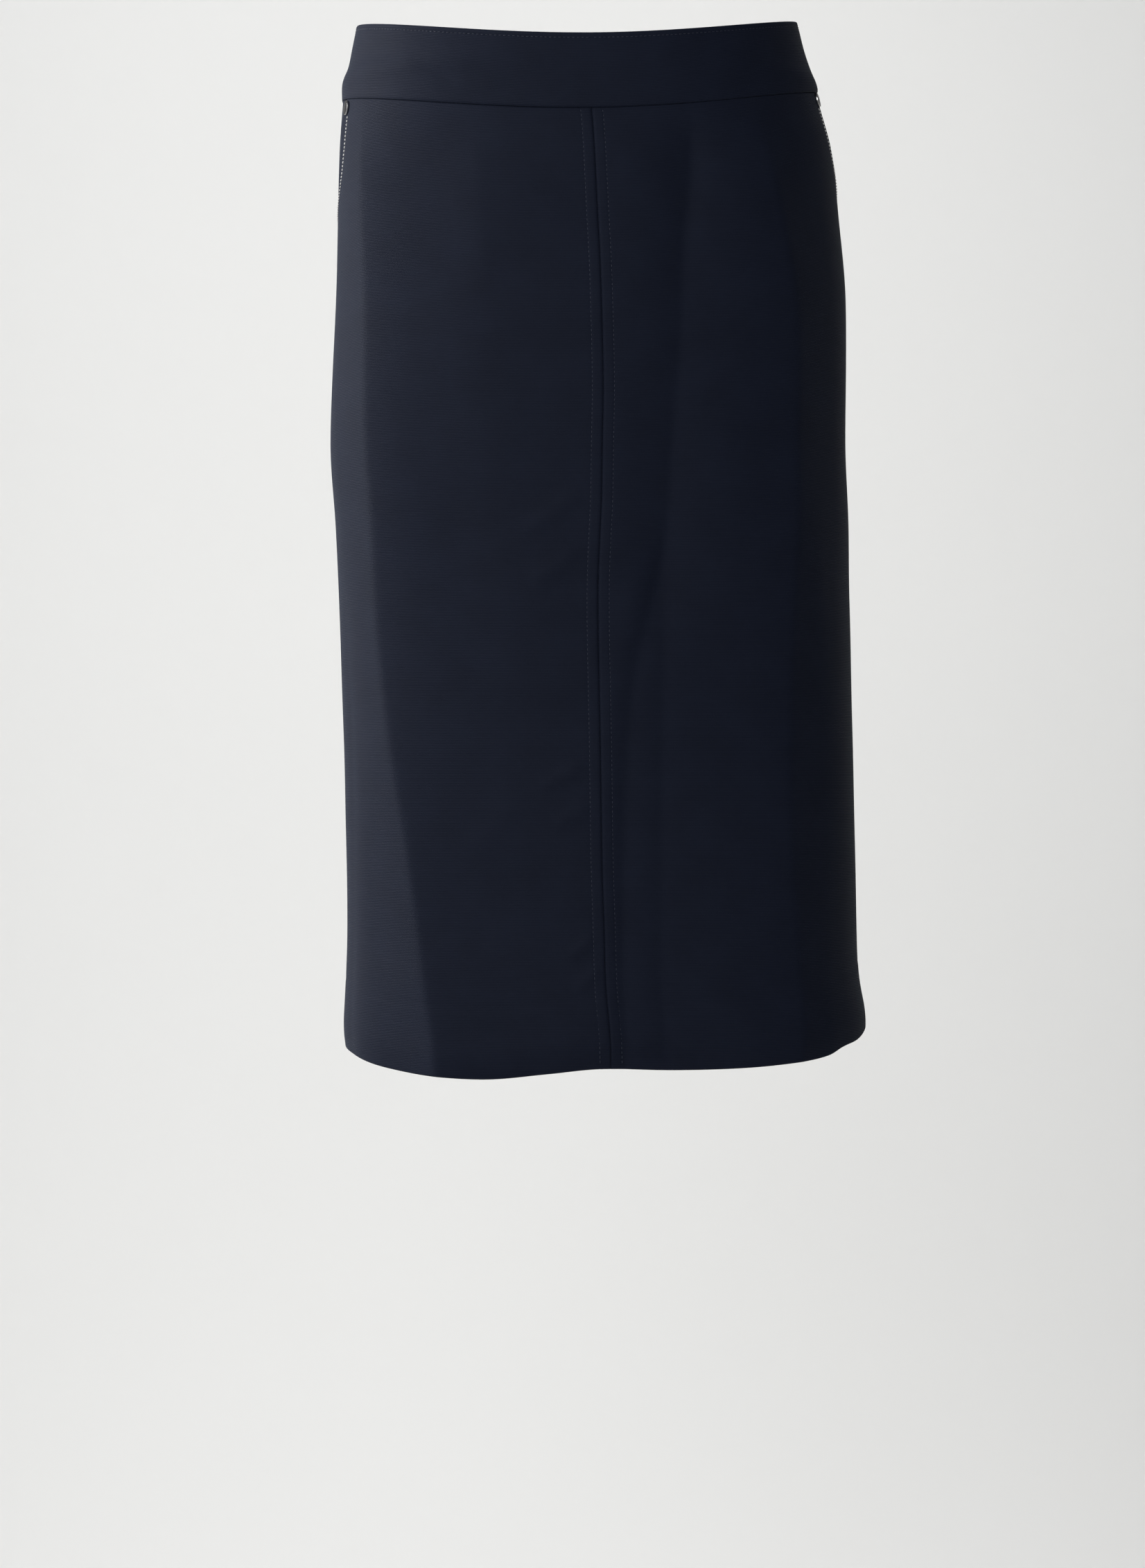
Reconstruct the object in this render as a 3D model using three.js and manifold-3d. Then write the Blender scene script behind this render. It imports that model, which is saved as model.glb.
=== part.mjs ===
// Pencil skirt in navy ribbed cloth, in the hollow form that it has when it is worn. Units are millimetres.
// +Z is up, the front faces -Y and +X is the wearer's left. The origin is the middle of the waist opening,
// level with the waistband's upper edge at the side.
//
// Every piece of cloth is a wall on one shared skin. A place on the skin is an arc, measured round the body
// from the centre front (left of the wearer positive), and a drop, measured down from the origin's level.
import * as THREE from "three";
import { mergeVertices } from "three/addons/utils/BufferGeometryUtils.js";
import Module from "manifold-3d";

const wasm = await Module();
wasm.setup();

// Driving dimensions of the cut
const waistDip = 25; // the upper edge at the centre front, below its height at the sides
const waistRise = 6; // the upper edge at the centre back, above it
const waistTilt = 3.2; // how much the worn waist is higher on the wearer's left
const bandHeight = 49.5;
const bandSlant = 0.7; // less height at the sides, where the band slopes most
const bandTilt = 1.3; // the seam below it tilts this much more than its upper edge
const bandProud = 1; // the waistband stands this much outside the cloth below it
const hemDepth = 45; // cloth turned up inside at the hem
const seamAllowance = 14; // cloth pressed back inside at each seam
const pocketWidth = 47; // from the side seam to the top of the scooped opening
const pocketLength = 75;
const pocketUnderlap = 30; // the hip piece goes this far in under the front
const hipPieceBelow = 10; // and this far down past the opening
const topstitchOffset = 7.2; // the stitched lines beside the centre front seam
const dartLength = 110;
const zipLength = 185;
const zipTapeWidth = 12;

// Thicknesses and gaps
const clothThick = 1.2;
const turnedThick = 0.8; // one more layer inside, at hems and seams
const bandThick = 2.4;
const tapeThick = 0.8;
const seamGap = 0.4;
const layerGap = 0.5;
const zipGap = 1.5; // between the two edges at the zip, where the slider's neck passes

// The worn form, at drops below the waist: where its middle lies across, half its width, how far it
// reaches to the front and to the back, and how square the section is, from 2, an ellipse.
const sections = [
  { drop: -10, middle: -1.2, half: 144.4, front: 98, back: 105, square: 2.15 },
  { drop: 0, middle: -1, half: 148, front: 100, back: 108, square: 2.15 },
  { drop: 18, middle: -0.6, half: 152.2, front: 103, back: 112, square: 2.15 },
  { drop: 32, middle: 0.3, half: 156, front: 105, back: 115, square: 2.15 },
  { drop: 42, middle: 0.4, half: 159.9, front: 106, back: 117, square: 2.2 },
  { drop: 52, middle: 1.1, half: 160.9, front: 107, back: 119, square: 2.2 },
  { drop: 85, middle: 4.3, half: 166.5, front: 110, back: 125, square: 2.22 },
  { drop: 130, middle: 6.2, half: 169.5, front: 114, back: 132, square: 2.25 },
  { drop: 190, middle: 7.9, half: 172.7, front: 117, back: 138, square: 2.3 },
  { drop: 285, middle: 5.8, half: 174.2, front: 118, back: 137, square: 2.35 },
  { drop: 340, middle: 8.4, half: 173.6, front: 118.5, back: 132, square: 2.38 },
  { drop: 390, middle: 9.9, half: 172.7, front: 119, back: 126, square: 2.4 },
  { drop: 500, middle: 13.1, half: 172.1, front: 121, back: 117, square: 2.45 },
  { drop: 610, middle: 15, half: 172.3, front: 123, back: 114, square: 2.45 },
  { drop: 645, middle: 15.5, half: 173.5, front: 124, back: 114, square: 2.45 },
  { drop: 680, middle: 18, half: 177.6, front: 125, back: 116, square: 2.4 },
  { drop: 715, middle: 18.6, half: 179.2, front: 126, back: 117, square: 2.4 },
];

// The centre front seam wanders a little from the section's middle as the cloth hangs.
const frontSeam = [
  { drop: 0, arc: -4.4 },
  { drop: 110, arc: -4.2 },
  { drop: 190, arc: -3.2 },
  { drop: 260, arc: 0 },
  { drop: 300, arc: -0.8 },
  { drop: 370, arc: -6.3 },
  { drop: 410, arc: -7.9 },
  { drop: 480, arc: -8.8 },
  { drop: 560, arc: -9.4 },
  { drop: 625, arc: -8.5 },
  { drop: 715, arc: -7.6 },
];

// The side seams, behind the widest point of the section. They swing forward where the hem flares.
const sideSeams = [
  { drop: 0, left: 19, right: 24 },
  { drop: 330, left: 18, right: 22 },
  { drop: 560, left: 4, right: 18 },
  { drop: 715, left: -25, right: 15 },
];

// How low the hem hangs, round the skirt from the centre back (-1) past the front (0) to the back (1).
const hemLine = [
  { turn: -1, drop: 690 },
  { turn: -0.75, drop: 689 },
  { turn: -0.5, drop: 692 },
  { turn: -0.42, drop: 695.4 },
  { turn: -0.34, drop: 700.6 },
  { turn: -0.26, drop: 704.4 },
  { turn: -0.18, drop: 705.8 },
  { turn: -0.1, drop: 702.2 },
  { turn: -0.03, drop: 699 },
  { turn: 0.07, drop: 700 },
  { turn: 0.17, drop: 699.1 },
  { turn: 0.25, drop: 696.2 },
  { turn: 0.3, drop: 693.2 },
  { turn: 0.335, drop: 688.4 },
  { turn: 0.38, drop: 685 },
  { turn: 0.44, drop: 679 },
  { turn: 0.5, drop: 678 },
  { turn: 0.7, drop: 682 },
  { turn: 1, drop: 690 },
];

// Soft vertical folds. Each passes through three places, fades out at both ends, and lifts the cloth by
// rise, or sinks it where rise is negative, over about its width to each side.
const folds = [
  { top: [60, 85], middle: [50, 250], end: [12, 480], width: 11, rise: -2.2 },
  { top: [84, 95], middle: [84, 240], end: [76, 420], width: 20, rise: 1.6 },
  { top: [20, 420], middle: [6, 560], end: [2, 700], width: 8, rise: -1 },
  { top: [42, 290], middle: [34, 480], end: [28, 690], width: 9, rise: -1.6 },
  { top: [62, 420], middle: [60, 560], end: [58, 700], width: 16, rise: 1.2 },
  { top: [-77, 80], middle: [-80, 160], end: [-84, 260], width: 16, rise: 1.8 },
  { top: [-58, 90], middle: [-60, 180], end: [-66, 300], width: 14, rise: -1.2 },
  { top: [-163, 210], middle: [-151, 470], end: [-121, 690], width: 18, rise: 1.8 },
  { top: [-66, 430], middle: [-74, 570], end: [-72, 705], width: 16, rise: -0.8 },
  { top: [148, 300], middle: [156, 480], end: [150, 680], width: 15, rise: 1.4 },
  { top: [-212, 330], middle: [-205, 500], end: [-214, 690], width: 15, rise: -1.5 },
  { top: [246, 380], middle: [252, 540], end: [242, 690], width: 15, rise: -1.8 },
  { top: [-292, 300], middle: [-300, 480], end: [-290, 690], width: 17, rise: 2 },
  { top: [-372, 250], middle: [-366, 430], end: [-378, 690], width: 14, rise: -2.4 },
  { top: [330, 280], middle: [336, 470], end: [322, 690], width: 16, rise: 2 },
  { top: [392, 240], middle: [380, 420], end: [388, 680], width: 13, rise: -2.2 },
  { top: [-432, 320], middle: [-440, 500], end: [-430, 690], width: 14, rise: 1.6 },
  { top: [440, 380], middle: [446, 540], end: [438, 690], width: 14, rise: 1.4 },
];

// Resolution of the walls
const sectionSteps = 180;
const evenRows = 17;
const normalStep = 0.5;

const colours = {
  cloth: new THREE.MeshStandardMaterial({ color: 0x1d2230, roughness: 0.85, metalness: 0 }),
  tape: new THREE.MeshStandardMaterial({ color: 0x161a26, roughness: 0.9, metalness: 0 }),
  metal: new THREE.MeshStandardMaterial({ color: 0x8d9096, roughness: 0.35, metalness: 1 }),
};

const skirt = new THREE.Group();

function clamp(value, low, high) {
  return Math.min(Math.max(value, low), high);
}

function lerp(from, to, share) {
  return from + (to - from) * share;
}

function smooth(share) {
  const kept = clamp(share, 0, 1);
  return kept * kept * (3 - 2 * kept);
}

// A table's column at a place between its rows, on a smooth curve through them.
function readTable(rows, key, column, place) {
  const last = rows.length - 1;
  const found = rows.findIndex((row) => row[key] > place);
  const next = found < 0 ? last : Math.max(found, 1);
  const slopeAt = (index) => {
    const lower = rows[Math.max(index - 1, 0)];
    const upper = rows[Math.min(index + 1, last)];
    return (upper[column] - lower[column]) / (upper[key] - lower[key]);
  };
  const before = rows[next - 1];
  const after = rows[next];
  const gap = after[key] - before[key];
  const t = clamp((place - before[key]) / gap, 0, 1);
  const t2 = t * t;
  const t3 = t2 * t;
  return (
    before[column] * (2 * t3 - 3 * t2 + 1) +
    slopeAt(next - 1) * gap * (t3 - 2 * t2 + t) +
    after[column] * (3 * t2 - 2 * t3) +
    slopeAt(next) * gap * (t3 - t2)
  );
}

// Half of the section at a drop, as points from the centre front to the centre back with the arc to each.
const knownSections = new Map();

function sectionAt(drop) {
  const key = drop.toFixed(3);
  if (knownSections.has(key)) return knownSections.get(key);
  const read = (column) => readTable(sections, "drop", column, drop);
  const half = read("half");
  const front = read("front");
  const back = read("back");
  const square = read("square");
  const points = [];
  const arcs = [];
  for (let step = 0; step <= sectionSteps; step++) {
    const angle = (Math.PI * step) / sectionSteps;
    const sine = Math.sin(angle);
    const cosine = Math.cos(angle);
    const depth = cosine > 0 ? front : back;
    const power = Math.abs(sine / half) ** square + Math.abs(cosine / depth) ** square;
    const reach = power ** (-1 / square);
    points.push(new THREE.Vector2(reach * sine, -reach * cosine));
    arcs.push(step === 0 ? 0 : arcs[step - 1] + points[step].distanceTo(points[step - 1]));
  }
  const section = { points, arcs, middle: read("middle"), around: arcs[sectionSteps] };
  knownSections.set(key, section);
  return section;
}

function halfRound(drop) {
  return sectionAt(drop).around;
}

function widestArc(drop) {
  return sectionAt(drop).arcs[sectionSteps / 2];
}

// The bare form, before folds.
function formPoint(arc, drop) {
  const { points, arcs, middle, around } = sectionAt(drop);
  const side = arc < 0 ? -1 : 1;
  const along = clamp(Math.abs(arc), 0, around);
  const found = arcs.findIndex((length) => length >= along);
  const next = Math.max(found < 0 ? sectionSteps : found, 1);
  const share = (along - arcs[next - 1]) / (arcs[next] - arcs[next - 1]);
  const flat = points[next - 1].clone().lerp(points[next], share);
  return new THREE.Vector3(middle + side * flat.x, flat.y, -drop);
}

function formNormal(arc, drop) {
  const limit = halfRound(drop) - normalStep;
  const centre = clamp(arc, -limit, limit);
  const across = formPoint(centre + normalStep, drop).sub(formPoint(centre - normalStep, drop));
  const up = formPoint(centre, drop - normalStep).sub(formPoint(centre, drop + normalStep));
  return across.cross(up).normalize();
}

// Where a fold's line runs at a drop: a parabola through its three places.
function foldArc(fold, drop) {
  const [a, b, c] = [fold.top, fold.middle, fold.end];
  const pull = (p, q, r) => (p[0] * (drop - q[1]) * (drop - r[1])) / ((p[1] - q[1]) * (p[1] - r[1]));
  return pull(a, b, c) + pull(b, a, c) + pull(c, a, b);
}

function foldLift(arc, drop) {
  let lift = 0;
  for (const fold of folds) {
    const share = (drop - fold.top[1]) / (fold.end[1] - fold.top[1]);
    if (share <= 0 || share >= 1.15) continue;
    const fade = smooth(share / 0.3) * smooth((1.15 - share) / 0.2);
    const off = (arc - foldArc(fold, clamp(drop, fold.top[1], fold.end[1]))) / fold.width;
    lift += fold.rise * fade * Math.exp(-off * off);
  }
  return lift;
}

// A place on the worn skin, moved out by a distance.
function skinPoint(arc, drop, out = 0) {
  return formPoint(arc, drop).addScaledVector(formNormal(arc, drop), foldLift(arc, drop) + out);
}

// Edges of the cut that run round the body, as a drop at a turn from the centre front.
function topDrop(turn) {
  const facing = Math.cos(Math.PI * turn);
  const level = facing > 0 ? waistDip * facing ** 1.3 : -waistRise * facing ** 2;
  return level - waistTilt * Math.sin(Math.PI * turn);
}

function seamDrop(turn) {
  const sideways = Math.sin(Math.PI * turn);
  return topDrop(turn) + bandHeight - bandSlant * sideways ** 2 - bandTilt * sideways;
}

function hemDrop(turn) {
  return readTable(hemLine, "turn", "drop", turn);
}

// Edges of the cut that run down the body, as an arc at a drop.
function frontSeamArc(drop) {
  return readTable(frontSeam, "drop", "arc", drop);
}

function sideSeamArc(drop, side) {
  return side * (widestArc(drop) + readTable(sideSeams, "drop", side > 0 ? "left" : "right", drop));
}

// The opening's edge starts almost straight down and sweeps back to the side seam.
function pocketEdgeArc(drop, side) {
  const share = clamp((drop - pocketTopDrop(side)) / pocketLength, 0, 1);
  return sideSeamArc(drop, side) - side * pocketWidth * (1 - share ** 4) ** 0.8;
}

function pocketTopDrop(side) {
  return seamDrop(side * 0.44);
}

// A closed wall between an outer and an inner grid of points. Rows run down and columns towards +arc.
function wallGeometry(outer, inner) {
  const rows = outer.length;
  const columns = outer[0].length;
  const corners = [...outer.flat(), ...inner.flat()];
  const faces = [];
  const out = (row, column) => row * columns + column;
  const into = (row, column) => rows * columns + row * columns + column;
  const quad = (a, b, c, d) => faces.push(a, b, c, a, c, d);
  for (let row = 0; row < rows - 1; row++) {
    for (let column = 0; column < columns - 1; column++) {
      quad(out(row, column), out(row + 1, column), out(row + 1, column + 1), out(row, column + 1));
      quad(into(row, column), into(row, column + 1), into(row + 1, column + 1), into(row + 1, column));
    }
    quad(out(row, 0), into(row, 0), into(row + 1, 0), out(row + 1, 0));
    const last = columns - 1;
    quad(out(row, last), out(row + 1, last), into(row + 1, last), into(row, last));
  }
  for (let column = 0; column < columns - 1; column++) {
    quad(out(0, column), out(0, column + 1), into(0, column + 1), into(0, column));
    const last = rows - 1;
    quad(out(last, column), into(last, column), into(last, column + 1), out(last, column + 1));
  }
  const geometry = new THREE.BufferGeometry().setFromPoints(corners).setIndex(faces);
  geometry.computeVertexNormals();
  return geometry;
}

function addMesh(parent, name, geometry, material) {
  const mesh = new THREE.Mesh(geometry, material);
  mesh.name = name;
  parent.add(mesh);
  return mesh;
}

// Arcs across a piece: some at set distances from its two edges, and the rest evenly between those.
function arcsAcross(from, to, nearFrom, nearTo, between) {
  const start = from + nearFrom[nearFrom.length - 1];
  const stop = to - nearTo[0];
  const even = Array.from({ length: between }, (_, i) => lerp(start, stop, (i + 1) / (between + 1)));
  return [...nearFrom.map((d) => from + d), ...even, ...nearTo.map((d) => to - d)];
}

// One piece of cloth. from and to give its edges as arcs at a drop, and rowDrops its rows at a turn. lift and
// thick give the outer face's offset and the wall's thickness from a place's distances to the edges.
function addCloth(name, piece, material = colours.cloth) {
  const { from, to, nearFrom, nearTo, between, rowDrops, lift, thick } = piece;
  const outer = [];
  const inner = [];
  const rowCount = rowDrops(0).length;
  const arcsAt = (drop) => arcsAcross(from(drop), to(drop), nearFrom, nearTo, between);
  for (let row = 0; row < rowCount; row++) {
    const roughDrop = rowDrops(0)[row];
    const roughTurns = arcsAt(roughDrop).map((arc) => arc / halfRound(roughDrop));
    const outerRow = [];
    const innerRow = [];
    roughTurns.forEach((roughTurn, column) => {
      const better = rowDrops(roughTurn)[row];
      const drop = rowDrops(arcsAt(better)[column] / halfRound(better))[row];
      const arc = arcsAt(drop)[column];
      const place = {
        arc,
        drop,
        row,
        fromEdge: arc - from(drop),
        toEdge: to(drop) - arc,
        aboveHem: rowDrops(arc / halfRound(drop))[rowCount - 1] - drop,
      };
      const out = lift(place);
      outerRow.push(skinPoint(arc, drop, out));
      innerRow.push(skinPoint(arc, drop, out - thick(place)));
    });
    outer.push(outerRow);
    inner.push(innerRow);
  }
  addMesh(skirt, name, wallGeometry(outer, inner), material);
}

// Rows of a body panel: along the pocket's opening, then evenly to the top of the turned hem and below it.
const openingShares = [0, 0.25, 0.45, 0.62, 0.75, 0.86, 0.93, 0.98, 1];

function panelRows(turn) {
  const top = seamDrop(turn) + seamGap / 2;
  const hem = hemDrop(turn);
  const turned = hem - hemDepth;
  const opening = openingShares.map((share) => top + share * pocketLength);
  const start = top + pocketLength;
  const even = Array.from({ length: evenRows }, (_, i) => lerp(start, turned - 2, (i + 1) / evenRows));
  return [...opening, ...even, turned, hem - 28, hem - 12, hem];
}

// The wall of a panel is a layer thicker inside where the hem and the seam edges are turned.
function panelThickness({ fromEdge, toEdge, aboveHem }) {
  const turnedEdge = Math.min(fromEdge, toEdge) <= seamAllowance + 0.01;
  const turnedHem = aboveHem <= hemDepth + 0.01;
  return clothThick + (turnedEdge || turnedHem ? turnedThick : 0);
}

const turnedEdge = [0, seamAllowance / 2, seamAllowance, seamAllowance + 1.2];
const turnedEdgeBack = [...turnedEdge].reverse();
const stitchedEdge = [0, 1.4, topstitchOffset - 1.4, topstitchOffset, topstitchOffset + 1.4, ...turnedEdge.slice(2)];
const stitchedEdgeBack = [...stitchedEdge].reverse();

// The strip beside the centre front seam is full between the seam and the line of stitches.
function stitchedLift(distance) {
  if (distance <= 0.01) return -0.3;
  if (distance < topstitchOffset - 0.7) return 0.4;
  return Math.abs(distance - topstitchOffset) < 0.7 ? -0.1 : 0;
}

function addFronts() {
  const shared = { between: 17, rowDrops: panelRows, thick: panelThickness };
  addCloth("front_right", {
    ...shared,
    from: (drop) => pocketEdgeArc(drop, -1) + seamGap / 2,
    to: (drop) => frontSeamArc(drop) - seamGap / 2,
    nearFrom: turnedEdge,
    nearTo: stitchedEdgeBack,
    lift: ({ toEdge }) => stitchedLift(toEdge),
  });
  addCloth("front_left", {
    ...shared,
    from: (drop) => frontSeamArc(drop) + seamGap / 2,
    to: (drop) => pocketEdgeArc(drop, 1) - seamGap / 2,
    nearFrom: stitchedEdge,
    nearTo: turnedEdgeBack,
    lift: ({ fromEdge }) => stitchedLift(fromEdge),
  });
}

// Half the gap at the centre back: open at the zip, and a plain seam below it.
function backGap(drop) {
  return lerp(zipGap, seamGap, smooth((drop - zipLength) / 20)) / 2;
}

// A back dart is a shallow groove down the middle of the panel's top.
function dartLift({ fromEdge, toEdge, drop }) {
  const centred = Math.abs(fromEdge - toEdge) < 1;
  return centred && drop < bandHeight + dartLength ? -0.7 * smooth((bandHeight + dartLength - drop) / 30) : 0;
}

function addBacks() {
  const shared = {
    nearFrom: turnedEdge,
    nearTo: turnedEdgeBack,
    between: 13,
    rowDrops: panelRows,
    thick: panelThickness,
    lift: dartLift,
  };
  addCloth("back_left", {
    ...shared,
    from: (drop) => sideSeamArc(drop, 1) + seamGap / 2,
    to: (drop) => halfRound(drop) - backGap(drop),
  });
  addCloth("back_right", {
    ...shared,
    from: (drop) => -halfRound(drop) + backGap(drop),
    to: (drop) => sideSeamArc(drop, -1) - seamGap / 2,
  });
}

// The hip piece lies under the pocket's edge and comes up to the skin at the side seam.
function hipPieceLift(beyondEdge) {
  const under = -(clothThick + turnedThick + layerGap);
  return under + clamp((beyondEdge - 2) * 0.12, 0, -under - 0.2);
}

function hipPieceRows(turn) {
  const top = seamDrop(turn) + seamGap / 2 + 0.2;
  return [...openingShares.map((share) => top + share * pocketLength), top + pocketLength + hipPieceBelow];
}

function addHipPieces() {
  const shared = { between: 6, rowDrops: hipPieceRows, thick: () => clothThick };
  addCloth("hip_piece_left", {
    ...shared,
    nearFrom: [0, 8, 15, 22, pocketUnderlap - 1],
    nearTo: [0],
    from: (drop) => pocketEdgeArc(drop, 1) - pocketUnderlap,
    to: (drop) => sideSeamArc(drop, 1) - seamGap / 2,
    lift: ({ arc, drop }) => hipPieceLift(arc - pocketEdgeArc(drop, 1)),
  });
  addCloth("hip_piece_right", {
    ...shared,
    nearFrom: [0],
    nearTo: [pocketUnderlap - 1, 22, 15, 8, 0],
    from: (drop) => sideSeamArc(drop, -1) + seamGap / 2,
    to: (drop) => pocketEdgeArc(drop, -1) + pocketUnderlap,
    lift: ({ arc, drop }) => hipPieceLift(pocketEdgeArc(drop, -1) - arc),
  });
}

// The waistband's edges are a little rounded at the top and at the seam.
const bandShares = [0, 0.03, 0.3, 0.52, 0.7, 0.86, 1];
const bandEdgeLift = -0.6;

function bandRows(turn) {
  const top = topDrop(turn);
  const bottom = seamDrop(turn) - seamGap / 2;
  return bandShares.map((share) => lerp(top, bottom, share));
}

function bandLift({ row }) {
  return bandProud + (row === 0 ? bandEdgeLift : 0);
}

function bandThickness({ row }) {
  return bandThick + (row === 0 ? 2 * bandEdgeLift : 0);
}

function addWaistband() {
  const shared = { nearFrom: [0], nearTo: [0], rowDrops: bandRows, lift: bandLift, thick: bandThickness };
  addCloth("waistband_front", {
    ...shared,
    between: 32,
    from: (drop) => sideSeamArc(drop, -1) + seamGap / 2,
    to: (drop) => sideSeamArc(drop, 1) - seamGap / 2,
  });
  addCloth("waistband_back_left", {
    ...shared,
    between: 14,
    from: (drop) => sideSeamArc(drop, 1) + seamGap / 2,
    to: (drop) => halfRound(drop) - backGap(drop),
  });
  addCloth("waistband_back_right", {
    ...shared,
    between: 14,
    from: (drop) => -halfRound(drop) + backGap(drop),
    to: (drop) => sideSeamArc(drop, -1) - seamGap / 2,
  });
}

// The zip's two tapes lie inside, against the turned edges of the centre back.
const tapeOut = -(clothThick + turnedThick + layerGap + 0.2);
const tapeTop = 3; // below the waistband's upper edge

function tapeRows(turn) {
  const top = topDrop(turn) + tapeTop;
  const count = 15;
  return Array.from({ length: count }, (_, i) => lerp(top, zipLength, i / (count - 1)));
}

function addZipTapes() {
  const shared = {
    nearFrom: [0],
    nearTo: [0],
    between: 1,
    rowDrops: tapeRows,
    lift: () => tapeOut,
    thick: () => tapeThick,
  };
  addCloth(
    "zip_tape_left",
    {
      ...shared,
      from: (drop) => halfRound(drop) - zipTapeWidth,
      to: (drop) => halfRound(drop) - zipGap / 2,
    },
    colours.tape,
  );
  addCloth(
    "zip_tape_right",
    {
      ...shared,
      from: (drop) => -halfRound(drop) + zipGap / 2,
      to: (drop) => -halfRound(drop) + zipTapeWidth,
    },
    colours.tape,
  );
}

// A group that stands on the skin: its Y axis points out of the cloth and its Z axis up along it.
function standOnSkin(arc, drop, out) {
  const y = formNormal(arc, drop);
  const sameTurn = (at) => formPoint((arc / halfRound(drop)) * halfRound(at), at);
  const up = sameTurn(drop - normalStep).sub(sameTurn(drop + normalStep));
  const x = y.clone().cross(up).normalize();
  const z = x.clone().cross(y);
  const group = new THREE.Group();
  group.position.copy(skinPoint(arc, drop, out));
  group.quaternion.setFromRotationMatrix(new THREE.Matrix4().makeBasis(x, y, z));
  skirt.add(group);
  return group;
}

// A rivet's cap: a raised ring round a sunk middle with a small point in it.
const rivetRadius = 4.8;
const rivetHeight = 1.7;
const rivetBelowSeam = 6.4;
const rivetInset = 1.5; // from the pocket's edge, on its line of stitches

function rivetGeometry() {
  const profile = [
    [0, 0],
    [rivetRadius - 0.3, 0],
    [rivetRadius, 0.35],
    [rivetRadius - 0.35, 1.05],
    [rivetRadius - 1.2, rivetHeight],
    [rivetRadius - 2.1, rivetHeight - 0.15],
    [rivetRadius - 2.7, 0.7],
    [1.1, 0.55],
    [0.8, 1.1],
    [0, 1.25],
  ];
  return new THREE.LatheGeometry(profile.map(([radius, height]) => new THREE.Vector2(radius, height)), 24);
}

function addRivets() {
  for (const [name, side] of [["rivet_left", 1], ["rivet_right", -1]]) {
    const drop = pocketTopDrop(side) + rivetBelowSeam;
    const arc = pocketEdgeArc(drop, side) - side * rivetInset;
    addMesh(standOnSkin(arc, drop, layerGap + 0.3), name, rivetGeometry(), colours.metal);
  }
}

// The zip's slider, closed at the top: a plate outside, a plate inside, a neck between the zip's edges and
// an arch that carries the pull. The arch's middle is the axis that the pull swings about.
const sliderDrop = 4;
const sliderWidth = 4.8;
const sliderLength = 9;
const plateThick = 1;
const neckWidth = 0.7;
const neckLength = 4;
const archWidth = 1.4;
const archThick = 1;
const archRadius = 2.9;
const pullThick = 0.9;
const pullClearance = 0.35;
const outerPlateOut = bandProud + 0.4;
const innerPlateOut = tapeOut - tapeThick - layerGap - plateThick;
const archOut = outerPlateOut + plateThick + pullClearance + pullThick / 2;

function roundedPlate(width, length, out) {
  const corner = 1.2;
  const shape = new THREE.Shape();
  const x = width / 2;
  const z = length / 2;
  shape.moveTo(-x + corner, -z);
  shape.lineTo(x - corner, -z);
  shape.quadraticCurveTo(x, -z, x, -z + corner);
  shape.lineTo(x, z - corner);
  shape.quadraticCurveTo(x, z, x - corner, z);
  shape.lineTo(-x + corner, z);
  shape.quadraticCurveTo(-x, z, -x, z - corner);
  shape.lineTo(-x, -z + corner);
  shape.quadraticCurveTo(-x, -z, -x + corner, -z);
  const plate = new THREE.ExtrudeGeometry(shape, { depth: plateThick, bevelEnabled: false, curveSegments: 4 });
  return plate.rotateX(Math.PI / 2).translate(0, out + plateThick, 0);
}

// The arch is a half ring on two short legs, cut from sheet in the plane of the swing.
function archGeometry() {
  const inside = archRadius - archThick / 2;
  const outside = archRadius + archThick / 2;
  const foot = archOut - outerPlateOut - plateThick / 2;
  const shape = new THREE.Shape();
  shape.moveTo(outside, -foot);
  shape.lineTo(outside, 0);
  shape.absarc(0, 0, outside, 0, Math.PI, false);
  shape.lineTo(-outside, -foot);
  shape.lineTo(-inside, -foot);
  shape.lineTo(-inside, 0);
  shape.absarc(0, 0, inside, Math.PI, 0, true);
  shape.lineTo(inside, -foot);
  const arch = new THREE.ExtrudeGeometry(shape, { depth: archWidth, bevelEnabled: false, curveSegments: 12 });
  return arch.translate(0, 0, -archWidth / 2).rotateY(-Math.PI / 2).translate(0, archOut, 0);
}

function solidFrom(geometry) {
  const bare = geometry.clone();
  bare.deleteAttribute("normal");
  bare.deleteAttribute("uv");
  const merged = mergeVertices(bare, 1e-4);
  const vertProperties = new Float32Array(merged.attributes.position.array);
  const triVerts = new Uint32Array(merged.index.array);
  return new wasm.Manifold(new wasm.Mesh({ numProp: 3, vertProperties, triVerts }));
}

function geometryFrom(solid) {
  const { vertProperties, triVerts } = solid.getMesh();
  const geometry = new THREE.BufferGeometry();
  geometry.setAttribute("position", new THREE.BufferAttribute(vertProperties, 3));
  geometry.setIndex(new THREE.BufferAttribute(triVerts, 1));
  geometry.computeVertexNormals();
  return geometry;
}

function addSlider(stand) {
  const neckHeight = outerPlateOut - innerPlateOut;
  const neck = new THREE.BoxGeometry(neckWidth, neckHeight, neckLength);
  neck.translate(0, innerPlateOut + plateThick / 2 + neckHeight / 2, 0);
  const pieces = [
    roundedPlate(sliderWidth, sliderLength, outerPlateOut),
    roundedPlate(sliderWidth, sliderLength, innerPlateOut),
    neck,
    archGeometry(),
  ];
  const solid = pieces.map(solidFrom).reduce((whole, piece) => whole.add(piece));
  addMesh(stand, "zip_slider", geometryFrom(solid), colours.metal);
}

// The pull is a flat drop with a slot at its head, round the arch.
const pullLength = 22;
const pullHeadHalf = 2.2;
const pullNeckHalf = 1.2;
const pullDropHalf = 2.7;

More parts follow.
